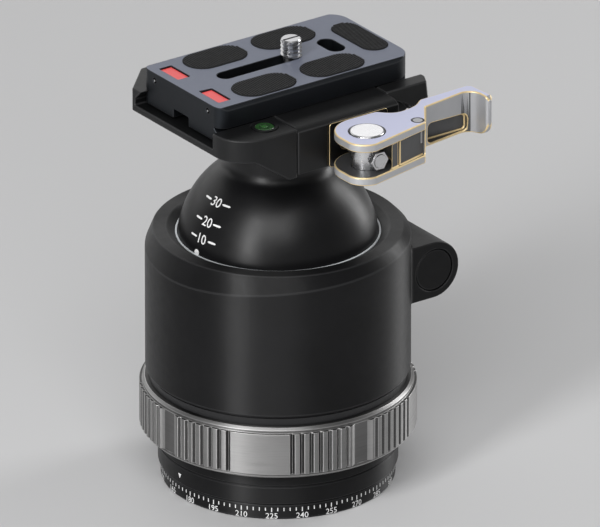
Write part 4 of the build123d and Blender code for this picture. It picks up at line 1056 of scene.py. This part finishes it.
def build_tripod_bush(threads, steel):
    """Flanged bush with its inner thread."""
    low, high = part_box("thread_bush")
    bottom, top, flange_foot = low[2], high[2], high[2] - 2.0 * MM
    flange_r, body_r, edge = high[0], 8.0 * MM, 0.8 * MM
    root_r = threads.base_radius + threads.base_depth
    inside = ((root_r, top), (root_r, bottom + edge), (root_r + edge, bottom))
    outside = ((body_r, bottom), (body_r, flange_foot), (flange_r, flange_foot), (flange_r, top))
    shell = turned_mesh("bush", inside + outside, 72)
    wire, length = threads.base_depth / RIDGE, top - bottom - 2 * edge
    ridge = (threads.base_radius + wire, wire, threads.base_pitch, length, steel, 3)
    mesh = threaded("Tripod bush", shell, ridge, bottom + edge)
    piece("Tripod_bush_threaded", mesh, steel, "base", "hardware_steel", ("thread_bush",))


class SpringOperator(Operator):
    """Winds the two jaw springs round their guide pins and rounds the disc springs"""

    bl_idname = "ball_head.springs"
    bl_label = "Springs"

    def execute(self, context):
        slots = finishes()
        steel = slots["spring_steel"]
        wire, turns = 0.4 * MM, 4.5
        placed = []
        for low, high in solid_boxes("jaw_springs"):
            middle, length = (low + high) / 2, high.y - low.y
            radius = (high.x - low.x) / 2 - wire
            sizes = (radius, wire, length / turns, length - 2 * wire)
            coil = coil_mesh("jaw spring", *sizes, steel, 10)
            start = Matrix.Translation((middle.x, high.y - wire, middle.z))
            placed.append((coil, start @ Matrix.Rotation(radians(90), 4, "X")))
        mesh = joined(placed, "Jaw springs")
        mesh.shade_smooth()
        piece("Jaw_springs_wound", mesh, steel, "head", "spring_steel", ("jaw_springs",))
        # The disc springs stay under the pressure cup
        discs = dress("disc_springs", slots, context.scene.head_edges.small)
        low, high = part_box("disc_springs")
        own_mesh(discs)
        return {"FINISHED"}


class ScaleOperator(Operator):
    """Prints the degree scales of the base and the ball and the index marks of the body"""

    bl_idname = "ball_head.scales"
    bl_label = "Scales"

    def execute(self, context):
        scales = context.scene.head_scales
        white = painted_marks("White print", context.scene.head_colours.marking)
        print_pan_scale(scales, white)
        print_ball_scale(scales, white)
        print_index_marks(scales, white)
        return {"FINISHED"}


def print_pan_scale(scales, white):
    """Ticks and numbers round the base disc."""
    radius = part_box("base_disc")[1][0]
    shapes = []
    every = scales.pan_step * scales.pan_every
    for count in range(round(tau / every)):
        text = str(round(every * count * 180 / pi))
        turn = scales.pan_zero + every * count
        place = on_cylinder(radius + scales.proud, turn, scales.pan_number_z)
        shapes.append((number_outline(text, scales.pan_number), place))
    numbers, ticks = print_on(shapes, "Pan numbers"), tick_ring(radius, scales, white)
    mesh = joined([(numbers, Matrix()), (ticks, Matrix())], "Pan scale")
    piece("Pan_scale", mesh, white, "base", "rim_white")


# Numbers of the ball scale with their height angles, and the dot's turn and height angle
BALL_NUMBERS = (("10", 16.8), ("20", 27.0), ("30", 39.4))
BALL_DOT = (radians(-179.2), radians(7.8))


def print_ball_scale(scales, white):
    """Rows of dash, number and dash up the ball, and a dot at its seat."""
    low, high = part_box("ball")
    radius = (high[0] - low[0]) / 2
    centre, print_r = low[2] + radius, radius + scales.proud * 1.5
    shapes = []
    for text, degrees in BALL_NUMBERS:
        rise = radians(degrees)
        place = on_sphere(centre, print_r, scales.ball_turn, rise)
        shapes.append((number_outline(text, scales.ball_number), place))
        shift = (scales.ball_dash / 2 + scales.ball_gap) / (radius * cos(rise))
        for turn in (scales.ball_turn - shift, scales.ball_turn + shift):
            dash = strip(scales.ball_dash, scales.ball_dash_w)
            shapes.append((dash, on_sphere(centre, print_r, turn, rise)))
    shapes.append((disc(scales.dot), on_sphere(centre, print_r, *BALL_DOT)))
    piece("Ball_scale", print_on(shapes, "Ball scale"), white, "head", "rim_white")


def print_index_marks(scales, white):
    """Triangle over the pan scale and a tick over the lock ring."""
    band_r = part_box("lower_housing")[1][0] + scales.proud
    housing_r = -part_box("main_housing")[0][0] + scales.proud
    wide, tall = 0.75 * MM, 1.5 * MM
    triangle = ([(-wide, tall), (0.0, 0.0), (wide, tall)], [(0, 1, 2)])
    points, faces = strip(1.6 * MM, 0.5 * MM)
    tick = ([(y, x) for x, y in points], [tuple(reversed(face)) for face in faces])
    shapes = [
        (triangle, on_cylinder(band_r, scales.pan_mark, 7.0 * MM)),
        (tick, on_cylinder(housing_r, scales.ring_mark, 37.0 * MM)),
    ]
    piece("Index_marks", print_on(shapes, "Index marks"), white, "housing", "rim_white")


class LevelOperator(Operator):
    """Builds the bubble and ring of the round level"""

    bl_idname = "ball_head.level"
    bl_label = "Bubble level"

    def execute(self, context):
        low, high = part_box("level_vial")
        middle = Matrix.Translation(((low[0] + high[0]) / 2, (low[1] + high[1]) / 2, high[2]))
        inner, outer, thick = 1.38 * MM, 1.52 * MM, 0.03 * MM
        outline = ((inner, 0.0), (outer, 0.0), (outer, thick), (inner, thick))
        ring = turned_mesh("level ring", outline, 40)
        ring.transform(middle)
        piece("Level_ring", ring, finishes()["slip_plastic"], "head", "slip_plastic")
        dome = ((0.0, 0.0), (1.0, 0.0), (0.95, 0.03), (0.7, 0.06), (0.0, 0.08))
        bubble = turned_mesh("bubble", [(r * MM, z * MM) for r, z in dome], 32)
        bubble.transform(middle)
        bubble.shade_smooth()
        air = vial_fluid("Vial bubble", shade(context.scene.head_colours.vial, 1.7))
        piece("Level_bubble", bubble, air, "head", "vial_green")
        return {"FINISHED"}


class StageOperator(Operator):
    """Builds the floor, the lights and the camera"""

    bl_idname = "ball_head.stage"
    bl_label = "Studio"

    def execute(self, context):
        studio = context.scene.head_studio
        build_floor()
        build_lights(studio)
        build_camera(studio)
        return {"FINISHED"}


def build_floor():
    """A plain pale floor, wide enough to fill the view."""
    made = Finish("Studio floor")
    made.set(Roughness=0.85)
    made.cloud(3.0, 3.0, bpy.context.scene.head_colours.floor, 0.99, 1.0)
    rim = 3.0
    mesh = bpy.data.meshes.new("Studio floor")
    corners = [(-rim, -rim, 0), (rim, -rim, 0), (rim, rim, 0), (-rim, rim, 0)]
    mesh.from_pydata(corners, [], [(0, 1, 2, 3)])
    paint(mesh, made.material)
    floor = in_scene("Studio_floor", mesh)


def build_lights(studio):
    """A soft key, a tall strip on each side, a wide light behind and an even pale world."""
    aim = Vector((0, 0, 0.07))
    for name, place, width, height, power in (
        ("Key light", (-0.55, -0.75, 0.95), 0.8, 0.8, studio.key),
        ("Left strip", (-0.98, -0.36, 0.50), 0.2, 1.0, studio.left),
        ("Right strip", (1.0, -0.05, 0.35), 0.3, 0.9, studio.right),
        ("Back light", (0.10, 1.10, 0.60), 1.8, 1.1, studio.back),
    ):
        lamp = bpy.data.lights.new(name, "AREA")
        lamp.shape = "RECTANGLE"
        lamp.size, lamp.size_y, lamp.energy = width, height, power
        made = in_scene(name, lamp)
        made.location = place
        made.rotation_euler = (aim - Vector(place)).to_track_quat("-Z", "Y").to_euler()
    world = bpy.data.worlds.new("Studio world")
    world.use_nodes = True
    even = world.node_tree.nodes["Background"]
    even.inputs["Color"].default_value = (1, 1, 1, 1)
    even.inputs["Strength"].default_value = studio.world
    bpy.context.scene.world = world
    bpy.context.scene.view_settings.view_transform = "Standard"


def build_camera(studio):
    """The camera, looking down on the head from its lever side."""
    turn, rise = studio.azimuth, studio.elevation
    flat = cos(rise)
    back = Vector((sin(turn) * flat, -cos(turn) * flat, sin(rise)))
    right = Vector((cos(turn), sin(turn), 0))
    aim = right * studio.aim_right + Vector((0, 0, studio.aim_height))
    lens = bpy.data.cameras.new("Camera")
    lens.sensor_width = 36.0
    lens.lens = lens.sensor_width * studio.distance / studio.frame_width
    lens.clip_start, lens.clip_end = 0.1, 50.0
    camera = in_scene("Camera", lens)
    camera.location = aim + back * studio.distance
    camera.rotation_euler = (-back).to_track_quat("-Z", "Y").to_euler()
    bpy.context.scene.camera = camera


class BallHeadPanel(Panel):
    """Lists the steps and sizes of the ball head"""

    bl_idname = "VIEW3D_PT_ball_head"
    bl_label = "Ball Head"
    bl_space_type = "VIEW_3D"
    bl_region_type = "UI"
    bl_category = "Ball Head"

    def draw(self, context):
        layout = self.layout
        for operator in OPERATORS:
            layout.operator(operator.bl_idname)
        for group, kind in GROUPS.items():
            box = layout.box()
            box.label(text=kind.__doc__)
            for name in kind.__annotations__:
                box.prop(getattr(context.scene, group), name)


OPERATORS = (FinishOperator, BodyOperator, ClampOperator, LeverOperator, PadOperator)
OPERATORS += (ThreadOperator, SpringOperator, ScaleOperator, LevelOperator, StageOperator)


def register():
    """Registers the sizes, the steps and the panel."""
    for name, group in GROUPS.items():
        bpy.utils.register_class(group)
        setattr(bpy.types.Scene, name, PointerProperty(type=group))
    for operator in (*OPERATORS, BallHeadPanel):
        bpy.utils.register_class(operator)


def unregister():
    """Takes them out again."""
    for operator in (BallHeadPanel, *reversed(OPERATORS)):
        bpy.utils.unregister_class(operator)
    for name, group in reversed(GROUPS.items()):
        delattr(bpy.types.Scene, name)
        bpy.utils.unregister_class(group)


def main():
    """Dresses the head step by step."""
    register()
    for operator in OPERATORS:
        family, name = operator.bl_idname.split(".")
        getattr(getattr(bpy.ops, family), name)()


if __name__ == "__main__":
    main()
